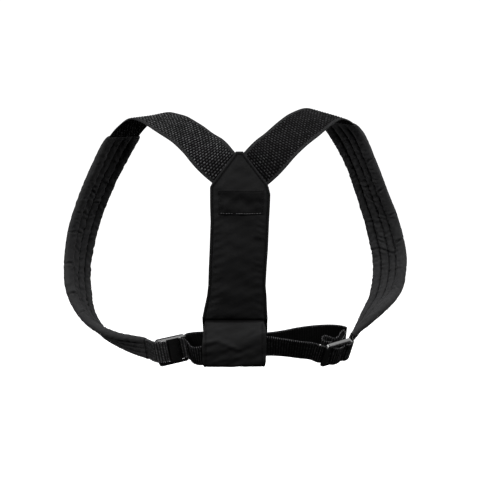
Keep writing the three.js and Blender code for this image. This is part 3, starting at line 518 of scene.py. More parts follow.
# ------------------------------------------------------------------ routes
def strap_route(side):
    rows = [(np.array(r[:3]), unit(np.array(r[3:]))) for r in STRAP[side]]
    p, w = rows[0]
    lie = unit(np.array([w[2], 0.0, -w[0]]))
    if lie[2] > 0:
        lie = -lie
    first = p + lie * ELASTIC_HIDDEN
    first[1] = p[1] + bow(first[2]) - bow(p[2])
    return Route([(first, w), *rows])


def bow(z):
    return 6.0 * ((z + 5.0) / 105.0) ** 2


def slider_frame(side):
    middle, along, up = (np.array(v, float) for v in SLIDERS[side])
    along = unit(along)
    up = unit(up - along * (up @ along))
    out = np.cross(along, up)
    if out[1] > 0:
        out = -out
    return middle, along, up, out


def slider_row(side, r):
    middle, along, up, out = slider_frame(side)
    return middle + along * r[0] + out * r[1] + np.array([0.0, 0.0, r[2]]), up


def belt_row(r):
    return np.array(r[:3], float), np.array([r[3], r[4], math.sqrt(1 - r[3] ** 2 - r[4] ** 2)])


def out_sign(path):
    return 1.0 if path.at(ELASTIC_HIDDEN)[3][0, 1] < 0 else -1.0


# ------------------------------------------------------------------ elastic straps
ELASTIC_LINE, ELASTIC_FLOAT = 3.3, 4.2            # pitch of the weave's lines, and of the floats in a line


def weave_of(s, c, seed, side_glint):
    """Height of the elastic's coarse weave, short floats in lines across the strap, and a painted glint on the floats,
    scaled by side_glint.
    """
    line = np.floor(s / ELASTIC_LINE)
    f = s / ELASTIC_LINE - line - 0.5
    cell = c / ELASTIC_FLOAT + 0.5 * np.mod(line, 2) + 0.12 * (hashed(line, 3, seed) - 0.5)
    g = cell - np.floor(cell) - 0.5
    luck = hashed(line, np.floor(cell), seed)
    bump = np.exp(-((f / 0.22) ** 2)) * np.exp(-((g / 0.36) ** 4))
    fleck = np.exp(-((f / 0.17) ** 2)) * np.exp(-((g / 0.30) ** 4))
    return bump, side_glint * fleck * (0.30 + 0.70 * luck)


def make_elastic(side):
    path = strap_route(side)
    end = path.row(PAD_FROM[side] + 1) + ELASTIC_IN_PAD
    s = np.linspace(1.0, end, int(end / 0.55))
    half = mix(ELASTIC_SEWN_WIDE[side], ELASTIC_WIDE, np.clip((s - ELASTIC_HIDDEN) / 35, 0, 1)) / 2
    a = np.concatenate([[1.0, 0.994, 0.983], np.linspace(0.968, -0.968, 84), [-0.983, -0.994, -1.0]])
    p, w, t, n = path.at(s)
    edge = half[:, None] * (1 - np.abs(a))[None, :]                   # distance in from the edge
    c = half[:, None] * a[None, :]
    ss = np.broadcast_to(s[:, None], c.shape)
    border = smooth(edge, 3.0, 4.2)                                  # 0 on the smooth edge strip
    rounding = np.sqrt(np.clip(1 - ((0.9 - np.minimum(edge, 0.9)) / 0.9) ** 2, 0.06, 1))
    faces, tones = [], []
    for k, sign in enumerate((1.0, -1.0)):
        # painted glints on the floats: brighter on the left strap, which faces the light, dimmer on the right
        bump, tone = weave_of(ss + 0.8 * k, c, 11 + k + (5 if side == "left" else 0), 1.12 if side == "left" else 0.45)
        rib = 0.5 + 0.5 * np.sin(2 * math.pi * ss / 1.7)
        cord = 0.5 + 0.5 * np.cos(2 * math.pi * edge / 1.45)
        height = border * 0.75 * (bump - 0.4) + (1 - border) * (0.10 * rib + 0.14 * cord - 0.02)
        thick = (ELASTIC_THICK / 2 + height) * rounding
        ripple = 0.35 * waves(ss, c, 3 + k, 40.0)
        off = sign * thick + ripple * smooth(ss, 25, 60)
        faces.append(p[:, None] + w[:, None] * c[..., None] + n[:, None] * off[..., None])
        tones.append(border * tone + (1 - border) * (0.06 + 0.05 * rib + 0.10 * cord))
    P = closed_section(faces[0], faces[1])
    lead = -1.0 if side == "left" else 1.0
    near = (ss < 30)
    near = closed_section(near, near)
    P[..., 0] = np.where(near & (lead * (P[..., 0] - 0.5) < 0.2), 0.5 + lead * 0.2, P[..., 0])
    uv = np.stack([ss, c], -1) / 100
    obj = make_object(f"elastic_{side}", P, grid_faces(*P.shape[:2], True, True), ELASTIC,
                      uv=closed_section(uv, uv), tone=closed_section(tones[0], tones[1]))
    return put(obj, "elastic", f"elastic_strap_{side}")


# ------------------------------------------------------------------ padded arm straps
def pad_share(a, low):
    """Thickness of a pad's face across it, as a share of its half thickness."""
    marks = np.array([1.0, *PAD_LINES, -1.0])
    share = np.ones_like(a)
    for i in range(4):
        hi, lo = marks[i], marks[i + 1]
        here = (a <= hi) & (a >= lo)
        u = (hi - a) / (hi - lo)
        left = 0.0 if i == 0 else 1.0
        right = 0.0 if i == 3 else 1.0
        u = np.clip(u, 0, 1)
        dip = np.maximum(left * np.exp(-((u * (hi - lo) / 0.085) ** 1.3)), right * np.exp(-(((1 - u) * (hi - lo) / 0.085) ** 1.3)))
        share = np.where(here, 1 - (1 - low) * dip, share)
    rim = np.clip((np.abs(a) - 0.78) / 0.22, 0, 1)
    return share * np.sqrt(np.clip(1 - rim**2, 0.0, 1))


# cross creases of a pad's cover: distance along the strap from the pad's top and around the cover from
# its outer edge (plus is the body side), at both ends, then depth and width
PAD_CREASES = {
    "left": [
        (43.5, 0.0, 39.9, 12.0, 0.7, 1.2), (67.7, 1.0, 67.7, 13.0, 0.6, 1.2), (78.6, 2.0, 81.0, 17.0, 0.6, 1.1),
        (96.7, 1.0, 97.9, 17.0, 0.7, 1.2), (117.3, -1.0, 117.3, 17.0, 0.9, 1.2), (128.0, 0.0, 127.0, 15.0, 0.9, 1.2),
        (149.5, -5.0, 145.0, 14.0, 1.5, 1.3), (193.8, -7.0, 192.2, 10.0, 2.1, 1.4), (240.0, -7.0, 237.0, 16.0, 2.1, 1.4),
        (275.0, -3.0, 272.0, 18.0, 1.8, 1.5), (160.0, 40.0, 152.0, 58.0, 0.7, 1.4), (205.0, 20.0, 214.0, 33.0, 0.7, 1.3),
    ],
    "right": [
        (56.5, -4.0, 63.2, 13.0, 1.1, 1.3), (101.5, -6.0, 109.4, 13.0, 1.4, 1.3), (144.5, -5.0, 146.0, 10.0, 1.1, 1.2),
        (181.5, -6.0, 187.3, 13.0, 2.3, 1.5), (188.5, 63.0, 187.3, 43.0, 2.0, 1.3), (187.3, 43.0, 200.6, 19.0, 2.0, 1.3),
        (214.0, 48.4, 226.2, 22.0, 0.8, 1.2), (226.2, 22.0, 226.2, 1.0, 0.9, 1.2),
        (340.0, 6.6, 321.0, 2.9, -0.9, 1.8), (321.0, 2.9, 301.5, -0.6, -0.9, 1.8),
    ],
}
# slanted puckers: from and to along the pad, from and to around it, pitch, slant, height
PAD_PUCKERS = {
    "left": [(60.0, 260.0, 18.0, 32.0, 10.0, 0.5, 0.8), (60.0, 260.0, 31.0, 46.0, 9.0, -0.5, 0.8), (30.0, 220.0, 44.0, 60.0, 11.0, 0.4, 0.5)],
    "right": [(78.0, 182.0, 31.0, 46.0, 13.5, -0.75, 1.4), (110.0, 190.0, 18.0, 32.0, 13.5, -0.75, 1.2),
              (20.0, 85.0, 18.0, 46.0, 8.0, -0.5, 0.5), (60.0, 230.0, 44.0, 60.0, 12.0, 0.5, 0.5)],
}


def make_pad(side):
    path = strap_route(side)
    begin, narrows, end = path.row(PAD_FROM[side] + 1), path.row(PAD_NARROWS[side] + 1), path.length
    sign = out_sign(path)
    s = np.linspace(begin, end, int((end - begin) / 2.4))
    s = np.concatenate([[begin, begin + 0.7], s[1:-1], [end - 0.7, end]])
    wide = mix(PAD_WIDE, PAD_END_WIDE, (np.clip(s - narrows, 0, None) / (end - narrows)) ** PAD_TAPER[side])
    top, low = np.clip((s - begin) / 22, 0, 1), np.clip((end - s) / 60, 0, 1)
    thick = np.minimum(mix(PAD_TOP_THICK, PAD_THICK, top**0.6), mix(PAD_END_THICK, PAD_THICK, low))
    corner = np.sqrt(np.clip(1 - (1 - np.clip((s - begin) / 7.0, 0, 1)) ** 2, 0, 1))
    wide = wide * mix(PAD_TOP_DRAWN, 1.0, corner)
    soft = 0.45 * np.minimum(top, low) + 0.55
    a = np.sort(np.unique(np.round(np.concatenate([
        np.linspace(-0.985, 0.985, 25), [-0.95, 0.95], PAD_LINES]), 4)))[::-1]
    keep = [a[0]]
    for v in a[1:]:                                                  # sewn lines keep their own column
        if any(abs(v - m) < 1e-6 for m in PAD_LINES):
            if keep[-1] - v < 0.03 and not any(abs(keep[-1] - m) < 1e-6 for m in PAD_LINES):
                keep.pop()
            keep.append(v)
        elif keep[-1] - v >= 0.03:
            keep.append(v)
    a = np.array([1.0, *keep, -1.0])
    p, w, t, n = path.at(s)
    body = pad_share(a, 0.50)[None, :] * soft[:, None] + (1 - soft[:, None]) * np.sqrt(np.clip(1 - a**6, 0, 1))[None, :]
    out = pad_share(a, 0.66)[None, :] * soft[:, None] + (1 - soft[:, None]) * np.sqrt(np.clip(1 - a**6, 0, 1))[None, :]
    def both(p, w, n, grow, puffed):
        c = a[None, :] * wide[:, None] / 2 * grow - PAD_INWARD * low[:, None]
        f = lambda share, k: p[:, None] + w[:, None] * c[..., None] + n[:, None] * (k * share * thick[:, None] / 2 * puffed)[..., None]
        return np.concatenate([f(body, -sign), f(out, sign)[:, ::-1][:, 1:-1]], axis=1)
    start = both(p, w, n, 1.0, 0.92)
    flat_p = np.stack([(s - begin) * 1.075, 0 * s, 0 * s], -1)
    one = np.ones((len(s), 1))
    rest = both(flat_p, one * [[0.0, 1.0, 0.0]], one * [[0.0, 0.0, 1.0]], 1.04, 1.0)
    C = start.shape[1]
    ring_a = np.concatenate([a, a[::-1][1:-1]])
    pins = np.zeros(start.shape[:2], bool)
    pins[:, np.array([any(abs(v - m) < 1e-6 for m in PAD_LINES) for v in ring_a])] = True
    pins[:3], pins[-3:] = True, True
    rough = waves(np.broadcast_to(s[:, None], pins.shape), ring_a[None, :] * 30, 17 if side == "left" else 18, 9.0)
    start = start + grid_normals(start) * (0.35 * rough * ~pins * (1 - ring_a**4)[None, :])[..., None]
    P = puff(start, rest, pins, pressure=4.0, frames=26, bending=0.25, cap=3.2)
    # finer grid, with its own measure along and around
    arc_s = np.broadcast_to((s - begin)[:, None], (len(s), C))[..., None]
    P = spread(spread(P, 2, 0, False), 3, 1, True)
    arc_s = spread(np.ascontiguousarray(arc_s), 2, 0, False)
    arc_s = np.repeat(arc_s, 3, axis=1)[..., 0]
    R, C = P.shape[:2]
    step = np.linalg.norm(np.roll(P, -1, 1) - P, axis=-1)
    around = np.concatenate([np.zeros((R, 1)), np.cumsum(step, 1)[:, :-1]], 1)
    total = step.sum(1, keepdims=True)
    N = grid_normals(P)
    centre = P.mean(1, keepdims=True)
    if ((P - centre) * N).sum() < 0:
        N = -N
    # sewn grooves with a dimple at each stitch; dark paints shade along each groove
    groove, dark = np.zeros((R, C)), np.zeros((R, C))
    lines = []
    columns = np.nonzero(np.array([any(abs(v - m) < 1e-6 for m in PAD_LINES) for v in ring_a]))[0] * 3
    for k in columns:
        near = np.abs(np.mod(around - around[:, k:k + 1] + total / 2, total) - total / 2)
        beat = 0.62 + 0.38 * np.cos(2 * math.pi * arc_s / 4.2)
        groove += 1.0 * np.exp(-((near / 1.25) ** 2)) * beat
        dark = np.maximum(dark, np.exp(-((near / 1.0) ** 2)) * (0.35 + 0.65 * beat))
    ends = smooth(arc_s, 3, 14) * smooth(arc_s.max() - arc_s, 2, 20)
    groove, dark = groove * ends, dark * ends
    q = np.where(around > total / 2, around - total, around)         # from the outer edge, body side plus
    crease = np.zeros((R, C))
    for s0, q0, s1, q1, depth, width in PAD_CREASES[side]:
        d = np.array([s1 - s0, q1 - q0])
        l = np.hypot(*d)
        along = ((arc_s - s0) * d[0] + (q - q0) * d[1]) / l
        off = ((arc_s - s0) * d[1] - (q - q0) * d[0]) / l
        off = off + 0.9 * np.sin(math.pi * np.clip(along / l, 0, 1)) * (1 if s1 > s0 else -1)
        fade = smooth(along, -2.5, 5.0) * smooth(l - along, -2.5, 5.0)
        crease += fade * depth * mix(0.40, 1.0, smooth(q, 1.0, 7.0)) * (np.exp(-((off / width) ** 2)) - 0.35 * np.exp(-(((np.abs(off) - 2.2 * width) / (1.3 * width)) ** 2)))
        # painted shade along the deeper creases
        if depth > 0.8:
            dark = np.maximum(dark, 0.55 * fade * np.exp(-((off / (0.55 * width)) ** 2)))
    # slanted puckers between the sewn lines
    pucker = np.zeros((R, C))
    for s0, s1, q0, q1, pitch, slant, deep in PAD_PUCKERS[side]:
        here = smooth(arc_s, s0 - 8, s0 + 8) * smooth(s1 - arc_s, -8, 8) * smooth(q, q0, q0 + 3) * smooth(q1 - q, 0, 3)
        drift = 0.35 * waves(arc_s, q, 25, 26.0)
        wave = np.sin(2 * math.pi * ((arc_s - slant * q) / pitch + drift))
        pucker += here * deep * (np.abs(wave) ** 0.8 * np.sign(wave)) * (0.6 + 0.4 * waves(arc_s, q, 26, 20.0))
    lump = 0.16 * waves(arc_s, q, 21 if side == "left" else 22, 9.0) * smooth(arc_s, 2, 10)
    crumple = np.abs(waves(arc_s, 0.6 * q, 31 if side == "left" else 32, 13.0)) - 0.3
    lump = lump + 0.55 * crumple * smooth(arc_s, 12, 40) * smooth(arc_s.max() - arc_s, 30, 110) * smooth(q, 2, 9)
    P = P + N * (lump + pucker - groove - crease)[..., None]
    for k in columns:
        ok = (arc_s[:, k] > 7) & (arc_s[:, k] < arc_s.max() - 14)
        lines.append((P[ok, k] + N[ok, k] * 0.05, N[ok, k]))
    uv = np.stack([arc_s, around], -1) / 100
    obj = put(make_object(f"arm_pad_{side}", P, grid_faces(R, C, True, True), PAD_CLOTH, uv=uv, tone=dark), "pad_fabric", f"pad_{side}")
    pts, faces = stitches(lines, 4.2, 2.6, 0.34, seed=5)
    put(make_object(f"pad_stitches_{side}", pts, faces, THREAD), "pad_fabric")
    return obj


# ------------------------------------------------------------------ back panel
def panel_edges(z):
    o = PANEL_OUTLINE[::-1]
    return np.interp(z, o[:, 0], o[:, 1]), np.interp(z, o[:, 0], o[:, 2])


def edge_distance(x, z):
    """Distance of points from the panel's outline, its lower end left out."""
    left, right = PANEL_OUTLINE[:, [1, 0]], PANEL_OUTLINE[:, [2, 0]]
    top = np.stack([left[0], right[0]])
    best = np.full(np.broadcast(x, z).shape, 1e9)
    for line in (left, right, top):
        for (x0, z0), (x1, z1) in zip(line[:-1], line[1:]):
            d = np.array([x1 - x0, z1 - z0])
            f = np.clip(((x - x0) * d[0] + (z - z0) * d[1]) / (d @ d), 0, 1)
            best = np.minimum(best, np.hypot(x - x0 - f * d[0], z - z0 - f * d[1]))
    return best


PANEL_DROP = np.array([(0.0, 1.7), (0.35, 1.1), (0.9, 0.70), (1.6, 0.70), (2.4, 1.05), (3.1, 1.60), (3.8, 1.10), (4.8, 0.45), (7.5, 0.0), (18.0, -0.5), (60.0, -0.7)])
PANEL_GROOVE = 3.1                                # topstitching, in from the edge


def panel_front(x, z):
    """Outer face of the panel: rolled edge, topstitched groove, slightly crowned middle."""
    d = edge_distance(x, z)
    slant = smooth(z, 60, 68)                                         # the border that lies on the elastic keeps its full thickness
    drop = np.interp(d, PANEL_DROP[:, 0], PANEL_DROP[:, 1])
    firm = np.interp(d, [0.0, 0.4, 0.9, 1.8, 2.4, 3.1, 3.8, 5.4, 18.0, 60.0], [0.75, 0.25, 0.05, 0.1, 0.45, 1.05, 0.45, 0.1, -0.3, -0.5])
    return bow(z) + mix(drop, firm, slant)


def make_panel():
    z = np.concatenate([np.linspace(103.5, 60, 52), np.linspace(60, -97, 140)[1:], np.linspace(-97, -147, 24)[1:]])
    left, right = panel_edges(z)
    wide = right - left
    near = np.array([0.0, 0.35, 0.9, 1.5, 2.1, 2.6, 3.1, 3.6, 4.1, 4.8, 6.2, 8.0])
    rows_x = []
    for l, r, w in zip(left, right, wide):
        inset = near * min(1.0, w / 2 / 9.5)
        rows_x.append(np.concatenate([l + inset, np.linspace(l + inset[-1], r - inset[-1], 38)[1:-1], (r - inset)[::-1]]))
    x = np.array(rows_x)
    zz = np.broadcast_to(z[:, None], x.shape)
    below = smooth(-zz, 98.5, 100.5)
    d = edge_distance(x, zz)
    wave = (1.3 * waves(0.6 * x + 0.35 * zz, zz * 0.9, 41, 30.0) + 0.55 * waves(0.5 * x, zz, 42, 12.0)) * smooth(d, 2, 12)
    pulls = np.cos(2 * math.pi * (zz + 0.35 * np.abs(x)) / 9.5 + 1.5 * waves(x, zz, 43, 40.0))       # short pulls off the border seams
    wave = wave + 0.45 * pulls * smooth(d, 3, 6) * smooth(-d, -22, -8) * (zz < 55)
    front = mix(panel_front(x, zz), bow(zz) + PANEL_THICK - TUNNEL_THICK, below)
    back = bow(zz) + PANEL_THICK - np.interp(d, [0, 0.5, 1.2, 2.2, 3.1, 4.0, 8, 60], [1.3, 0.7, 0.25, 0.2, 0.6, 0.15, 0.0, 0.0]) * (1 - 0.8 * below)
    A = np.stack([x, front, zz], -1)
    B = np.stack([x, back, zz], -1)
    # cloth between the topstitched borders is a little full: it is let settle by simulation
    pick_r, pick_c = np.arange(0, len(z), 2), np.arange(0, x.shape[1], 2)
    a0, b0 = A[pick_r][:, pick_c], B[pick_r][:, pick_c]
    start = closed_section(a0, b0)
    rest = start.copy()
    rest[..., 0] *= 1.016
    rest[..., 2] *= 1.010
    dd = d[pick_r][:, pick_c]
    held = (dd < 4.6) | (zz[pick_r][:, pick_c] < -96)
    pins = closed_section(held, held)
    pins[:2], pins[-2:] = True, True
    moved = puff(start, rest, pins, pressure=1.5, frames=18, bending=1.5, cap=1.6) - start
    half = moved.shape[1] // 2
    fine = lambda m: np.stack([np.stack([np.interp(np.arange(x.shape[1]), pick_c, col) for col in
                      np.stack([np.interp(np.arange(len(z)), pick_r, m[:, c, k]) for c in range(m.shape[1])], 1)], 0)
                      for k in range(3)], -1)
    A += fine(moved[:, :half])
    B += fine(moved[:, half:][:, ::-1])
    A[..., 1] -= wave * (1 - below) * 0.6
    N = np.cross(np.gradient(A, axis=0), np.gradient(A, axis=1))
    N = unit(N)
    if N[..., 1].sum() > 0:
        N = -N
    P = closed_section(A, B)
    uv = np.stack([zz, x], -1) / 100
    # painted shade: darker along the topstitched groove and on the panel below the sleeve's seam
    dark = 0.85 * np.exp(-(((d - PANEL_GROOVE) / 0.75) ** 2)) * (0.8 + 0.2 * np.cos(2 * math.pi * zz / 3.3)) * (1 - below)
    dark = np.maximum(dark, smooth(-zz, 95.5, 98.5))
    obj = put(make_object("back_panel_cover", P, grid_faces(*P.shape[:2], True, True), PANEL_CLOTH, uv=closed_section(uv, uv),
                          tone=closed_section(dark, dark)),
              "panel_fabric", "back_panel")
    # topstitching along the border groove of both faces
    c = int(np.argmin(np.abs(near - PANEL_GROOVE)))
    last = int(np.argmin(np.abs(z + 97)))
    first = int(np.argmin(np.abs(z - 97)))
    lines = []
    for side in (c, x.shape[1] - 1 - c):
        lines.append((A[first:last, side], N[first:last, side]))
        lines.append((B[first:last, side], np.broadcast_to([0.0, 1.0, 0.0], B[first:last, side].shape)))
    pts, faces = stitches(lines, 3.3, 2.2, 0.32, seed=9)
    put(make_object("panel_stitches", pts, faces, THREAD), "panel_fabric")
    return A, x, zz


def make_label(panel_A):
    z = np.linspace(LABEL_TOP, LABEL_LOW, 50)
    x = np.linspace(LABEL_LEFT, LABEL_RIGHT, 90)
    xx, zz = np.meshgrid(x, z)
    # the panel's own face under the label
    rows = panel_A[:, panel_A.shape[1] // 2, 2]
    under = np.empty_like(xx)
    for i, zi in enumerate(z):
        k = int(np.argmin(np.abs(rows - zi)))
        under[i] = np.interp(x, panel_A[k, :, 0], panel_A[k, :, 1])
    for _ in range(4):
        under[1:-1] = (under[:-2] + under[1:-1] + under[2:]) / 3
    edge = np.minimum(np.minimum(xx - LABEL_LEFT, LABEL_RIGHT - xx), np.minimum(LABEL_TOP - zz, zz - LABEL_LOW))
    roll = np.sqrt(np.clip(1 - (1 - np.clip(edge / 0.6, 0, 1)) ** 2, 0.05, 1))
    sewn = 0.28 * np.exp(-(((edge - 2.0) / 0.7) ** 2))
    lift = 0.35 * waves(xx, zz, 61, 17.0) * smooth(edge, 2, 7)
    front = under - 0.20 - (LABEL_THICK - 0.1) * roll + sewn - np.maximum(lift, -0.15)
    back = np.minimum(under - 0.12, front + 0.5)
    A, B = np.stack([xx, front, zz], -1), np.stack([xx, back, zz], -1)
    P = closed_section(A, B)
    uv = np.stack([zz, xx], -1) / 100
    obj = put(make_object("label_patch", P, grid_faces(*P.shape[:2], True, True), LABEL_CLOTH, uv=closed_section(uv, uv)), "label", "label")
    out = np.broadcast_to([0.0, -1.0, 0.0], (len(x) - 6, 3))
    low = int(np.argmin(np.abs(z - (LABEL_LOW + 1.9))))
    pts, faces = stitches([(A[low, 3:-3], out)], 3.0, 2.3, 0.34, skip=0.22, seed=3)
    put(make_object("label_stitches_low", pts, faces, GREY_THREAD), "label")
    high = int(np.argmin(np.abs(z - (LABEL_TOP - 1.9))))
    left = int(np.argmin(np.abs(x - (LABEL_LEFT + 1.9))))
    side = np.broadcast_to([0.0, -1.0, 0.0], (high * 0 + len(z) - 6, 3))
    pts, faces = stitches([(A[high, 3:-3], out), (A[3:-3, left], side), (A[3:-3, -1 - left], side)], 3.0, 2.1, 0.3, seed=4)
    put(make_object("label_stitches", pts, faces, THREAD), "label")


# ------------------------------------------------------------------ belt sleeve
# folds of its front: both ends (across, height), how far they stand out, width
SLEEVE_FOLDS = [
    (-42.0, -121.5, -22.0, -121.0, 1.5, 2.8), (-22.0, -121.0, -1.0, -130.0, 1.5, 3.0),
    (-2.0, -118.5, 18.0, -110.0, 1.3, 3.2), (-36.0, -104.0, -22.0, -110.0, 0.7, 2.8), (26.0, -103.0, 12.0, -112.0, 0.8, 2.6),
]


def make_sleeve():
    across = np.linspace(-43.5, 32.0, 78)
    rows = []
    for x in across:
        ridge = np.interp(x, SLEEVE_RIDGE[:, 0], SLEEVE_RIDGE[:, 1])
        upper = [(mix(SEAM_Z, ridge, f), y, cut) for f, y, cut in SLEEVE_UPPER]
        rows.append([(z, y, cut) for z, y, cut in upper] + [(z, y, cut) for z, y, cut in SLEEVE_LOWER])
    T = np.array(rows)                                               # column, row, (z, y, cut)
    T = np.moveaxis(T, 0, 1)
    for _ in range(2):                                               # the ridge bends gently along the belt
        T[:, 1:-1] = (T[:, :-2] + 2 * T[:, 1:-1] + T[:, 2:]) / 4
    T = spread(T, 9, 0, False)
    x = np.clip(across[None, :], -43.5 + T[..., 2], 32.0 - T[..., 2])
    x = x + (np.arange(len(across)) - 38.5)[None, :] * 0.004
    M = np.stack([x, T[..., 1], T[..., 0]], -1)
    R, C = M.shape[:2]
    arc = np.concatenate([np.zeros((1, C)), np.cumsum(np.linalg.norm(np.diff(M, axis=0), axis=-1), 0)])
    N = grid_normals(M, closed=False)
    if N[R // 2, :, 1].sum() > 0:
        N = -N
    side = np.minimum(M[..., 0] + 43.5, 32.0 - M[..., 0])
    sewn = 0.45 * np.exp(-(((arc - 2.6) / 0.8) ** 2)) + 0.40 * np.exp(-(((side - 4.2) / 0.8) ** 2)) * smooth(arc, 3, 8)
    wrinkle = (0.9 * waves(M[..., 0] * 0.7 + 0.4 * arc, arc * 0.8, 71, 16.0) + 0.4 * waves(M[..., 0] * 0.5, arc, 72, 7.0)) * smooth(arc, 3, 12)
    wrinkle *= 1 - 0.7 * smooth(arc, 60, 72)
    fold = np.zeros_like(arc)
    for x0, z0, x1, z1, high, wide in SLEEVE_FOLDS:
        d = np.array([x1 - x0, z1 - z0])
        l = np.hypot(*d)
        along = ((M[..., 0] - x0) * d[0] + (M[..., 2] - z0) * d[1]) / l
        off = ((M[..., 0] - x0) * d[1] - (M[..., 2] - z0) * d[0]) / l
        fold += high * smooth(along, -6, 5) * smooth(l - along, -6, 5) * np.exp(-((off / wide) ** 2)) * (arc < 55)
    M = M + N * (0.5 * wrinkle + fold - sewn)[..., None]
    rim = np.sqrt(np.clip(1 - (1 - np.clip(side / 0.8, 0, 1)) ** 2, 0.12, 1))
    A, B = M + N * (SLEEVE_WALL / 2 * rim)[..., None], M - N * (SLEEVE_WALL / 2 * rim)[..., None]
    P = closed_section(A, B)
    uv = np.stack([arc, M[..., 0]], -1) / 100
    # painted shade: darker along the top seam against the panel and along the side topstitching grooves
    dark = np.maximum(0.9 * np.exp(-((arc / 1.6) ** 2)), 0.7 * np.exp(-(((side - 4.2) / 0.7) ** 2)) * smooth(arc, 3, 8) * (0.7 + 0.3 * np.cos(2 * math.pi * arc / 3.2)))
    obj = put(make_object("belt_sleeve_cover", P, grid_faces(*P.shape[:2], True, True), SLEEVE_CLOTH, uv=closed_section(uv, uv),
                          tone=closed_section(dark, dark)),
              "panel_fabric", "belt_sleeve")
    lines = []
    top = [int(np.argmin(np.abs(arc[:, c] - 2.6))) for c in range(C)]
    lines.append((np.array([A[top[c], c] for c in range(2, C - 2)]), np.array([N[top[c], c] for c in range(2, C - 2)])))
    for c in (int(np.argmin(np.abs(across + 39.3))), int(np.argmin(np.abs(across - 27.8)))):
        ok = (arc[:, c] > 5) & (arc[:, c] < 60)
        lines.append((A[ok, c], N[ok, c]))
    pts, faces = stitches(lines, 3.2, 2.2, 0.32, seed=12)
    put(make_object("sleeve_stitches", pts, faces, THREAD), "panel_fabric")


# ------------------------------------------------------------------ webbing
WEB_RIB = 3.2                                     # pitch of the cross ribs


def ribbed(name, path, slot_nodes, seed, shine):
    """Woven strap with cross ribs and a dotted edge on both faces."""
    s = np.linspace(0.0, path.length, int(path.length / 0.5))
    shine = shine(path, s)
    a = np.concatenate([[1.0, 0.985], np.linspace(0.955, -0.955, 40), [-0.985, -1.0]])
    p, w, t, n = path.at(s)
    c = np.broadcast_to((a * WEB_WIDE / 2)[None, :], (len(s), len(a)))
    ss = np.broadcast_to(s[:, None], c.shape)
    edge = WEB_WIDE / 2 - np.abs(c)
    rounding = np.sqrt(np.clip(1 - ((0.6 - np.minimum(edge, 0.6)) / 0.6) ** 2, 0.1, 1))
    faces, tones = [], []
    for k, sign in enumerate((1.0, -1.0)):
        line = np.floor(ss / WEB_RIB)
        f = ss / WEB_RIB - line - 0.5
        dot = 0.5 + 0.5 * np.cos(2 * math.pi * (c / 1.9 + 0.5 * np.mod(line, 2) + 0.25 * k))
        rib = np.exp(-((f / 0.26) ** 2))
        rim = smooth(edge, 2.3, 1.1)
        knot = np.clip(np.sin(2 * math.pi * ss / 2.3), 0, 1) ** 1.3
        height = (1 - rim) * (0.34 * rib * (0.45 + 0.55 * dot) - 0.10) + rim * (0.24 * knot - 0.02)
        faces.append(p[:, None] + w[:, None] * c[..., None] + n[:, None] * (sign * (WEB_THICK / 2 - 0.14 + height) * rounding)[..., None])
        luck = hashed(line, np.floor(c / 1.9 + 0.5 * np.mod(line, 2) + 0.5), seed + k)
        # tone: painted glints on the rib tops, scaled by shine, and lighter knots along the edges
        tones.append(np.clip((1 - rim) * shine[:, None] * rib * dot * (0.35 + 0.65 * luck) + rim * knot * (0.35 + 0.65 * luck), 0, 1))
    P = closed_section(faces[0], faces[1])
    uv = np.stack([ss, c], -1) / 100
    obj = make_object(name, P, grid_faces(*P.shape[:2], True, True), WEBBING, uv=closed_section(uv, uv),
                      tone=closed_section(tones[0], tones[1]))
    return put(obj, "webbing", *slot_nodes)


def make_anchor(side):
    path = strap_route(side)
    sign = out_sign(path)
    end, mouth = path.at(path.length - ANCHOR_IN_PAD), path.at(path.length)
    in_pad = lambda at, k: (at[0][0] + at[3][0] * k * ANCHOR_SPREAD * sign, at[1][0])
    turn = [slider_row(side, r) for r in ANCHOR_ROUND[side]]
    front, rear = in_pad(mouth, 1), in_pad(mouth, -1)
    between = lambda a, b, lift: [((a[0] + b[0]) / 2 + np.array([0.0, 0.0, lift]), unit(a[1] + b[1]))] if lift else []
    rows = [in_pad(end, 1), front, *between(front, turn[0], ANCHOR_LIFT[side][0]), *turn,
            *between(turn[-1], rear, ANCHOR_LIFT[side][1]), rear, in_pad(end, -1)]
    return ribbed(f"anchor_{side}", Route(rows), [f"anchor_loop_{side}"], 31, lambda path, s: 0.60 + 0 * s)


def make_belt():
    rows = ([belt_row(r) for r in BELT_FAR] + [slider_row("left", r) for r in BELT_ROUND_LEFT] + [belt_row(r) for r in BELT_NEAR]
            + [slider_row("right", r) for r in BELT_OVER_RIGHT] + [belt_row(r) for r in BELT_TAIL])
    
    def shine(path, s):
        """Strength of the painted glints on the ribs: strongest near the sliders, and nearly none on the far layer
        behind, which is left in painted shade.
        """
        p = path.at(s)[0]
        far = np.minimum(*[np.linalg.norm(p - slider_frame(k)[0], axis=1) for k in ("left", "right")])
        return np.where(s < path.row(len(BELT_FAR)) + 4, 0.04, mix(0.20, 0.60, smooth(far, 46.0, 20.0)))

    return ribbed("belt", Route(rows), ["belt_webbing"], 37, shine)


# ------------------------------------------------------------------ sliders
def rounded(x0, x1, y0, y1, r, steps=5):
    pts = []
    for cx, cy, a0 in ((x1 - r, y1 - r, 0), (x0 + r, y1 - r, 90), (x0 + r, y0 + r, 180), (x1 - r, y0 + r, 270)):
        for k in range(steps + 1):
            a = math.radians(a0 + 90 * k / steps)
            pts.append((cx + r * math.cos(a), cy + r * math.sin(a)))
    return pts


# section of the rails that join the bars: out of the slider and up its bars
RAIL_SECTION = np.array([
    (2.6, 12.8), (2.58, 13.0), (2.40, 13.3), (1.15, 14.75), (0.75, 15.1), (-1.75, 16.35), (-2.15, 16.5), (-2.5, 16.4),
    (-2.6, 16.1), (-2.6, 12.8),
])


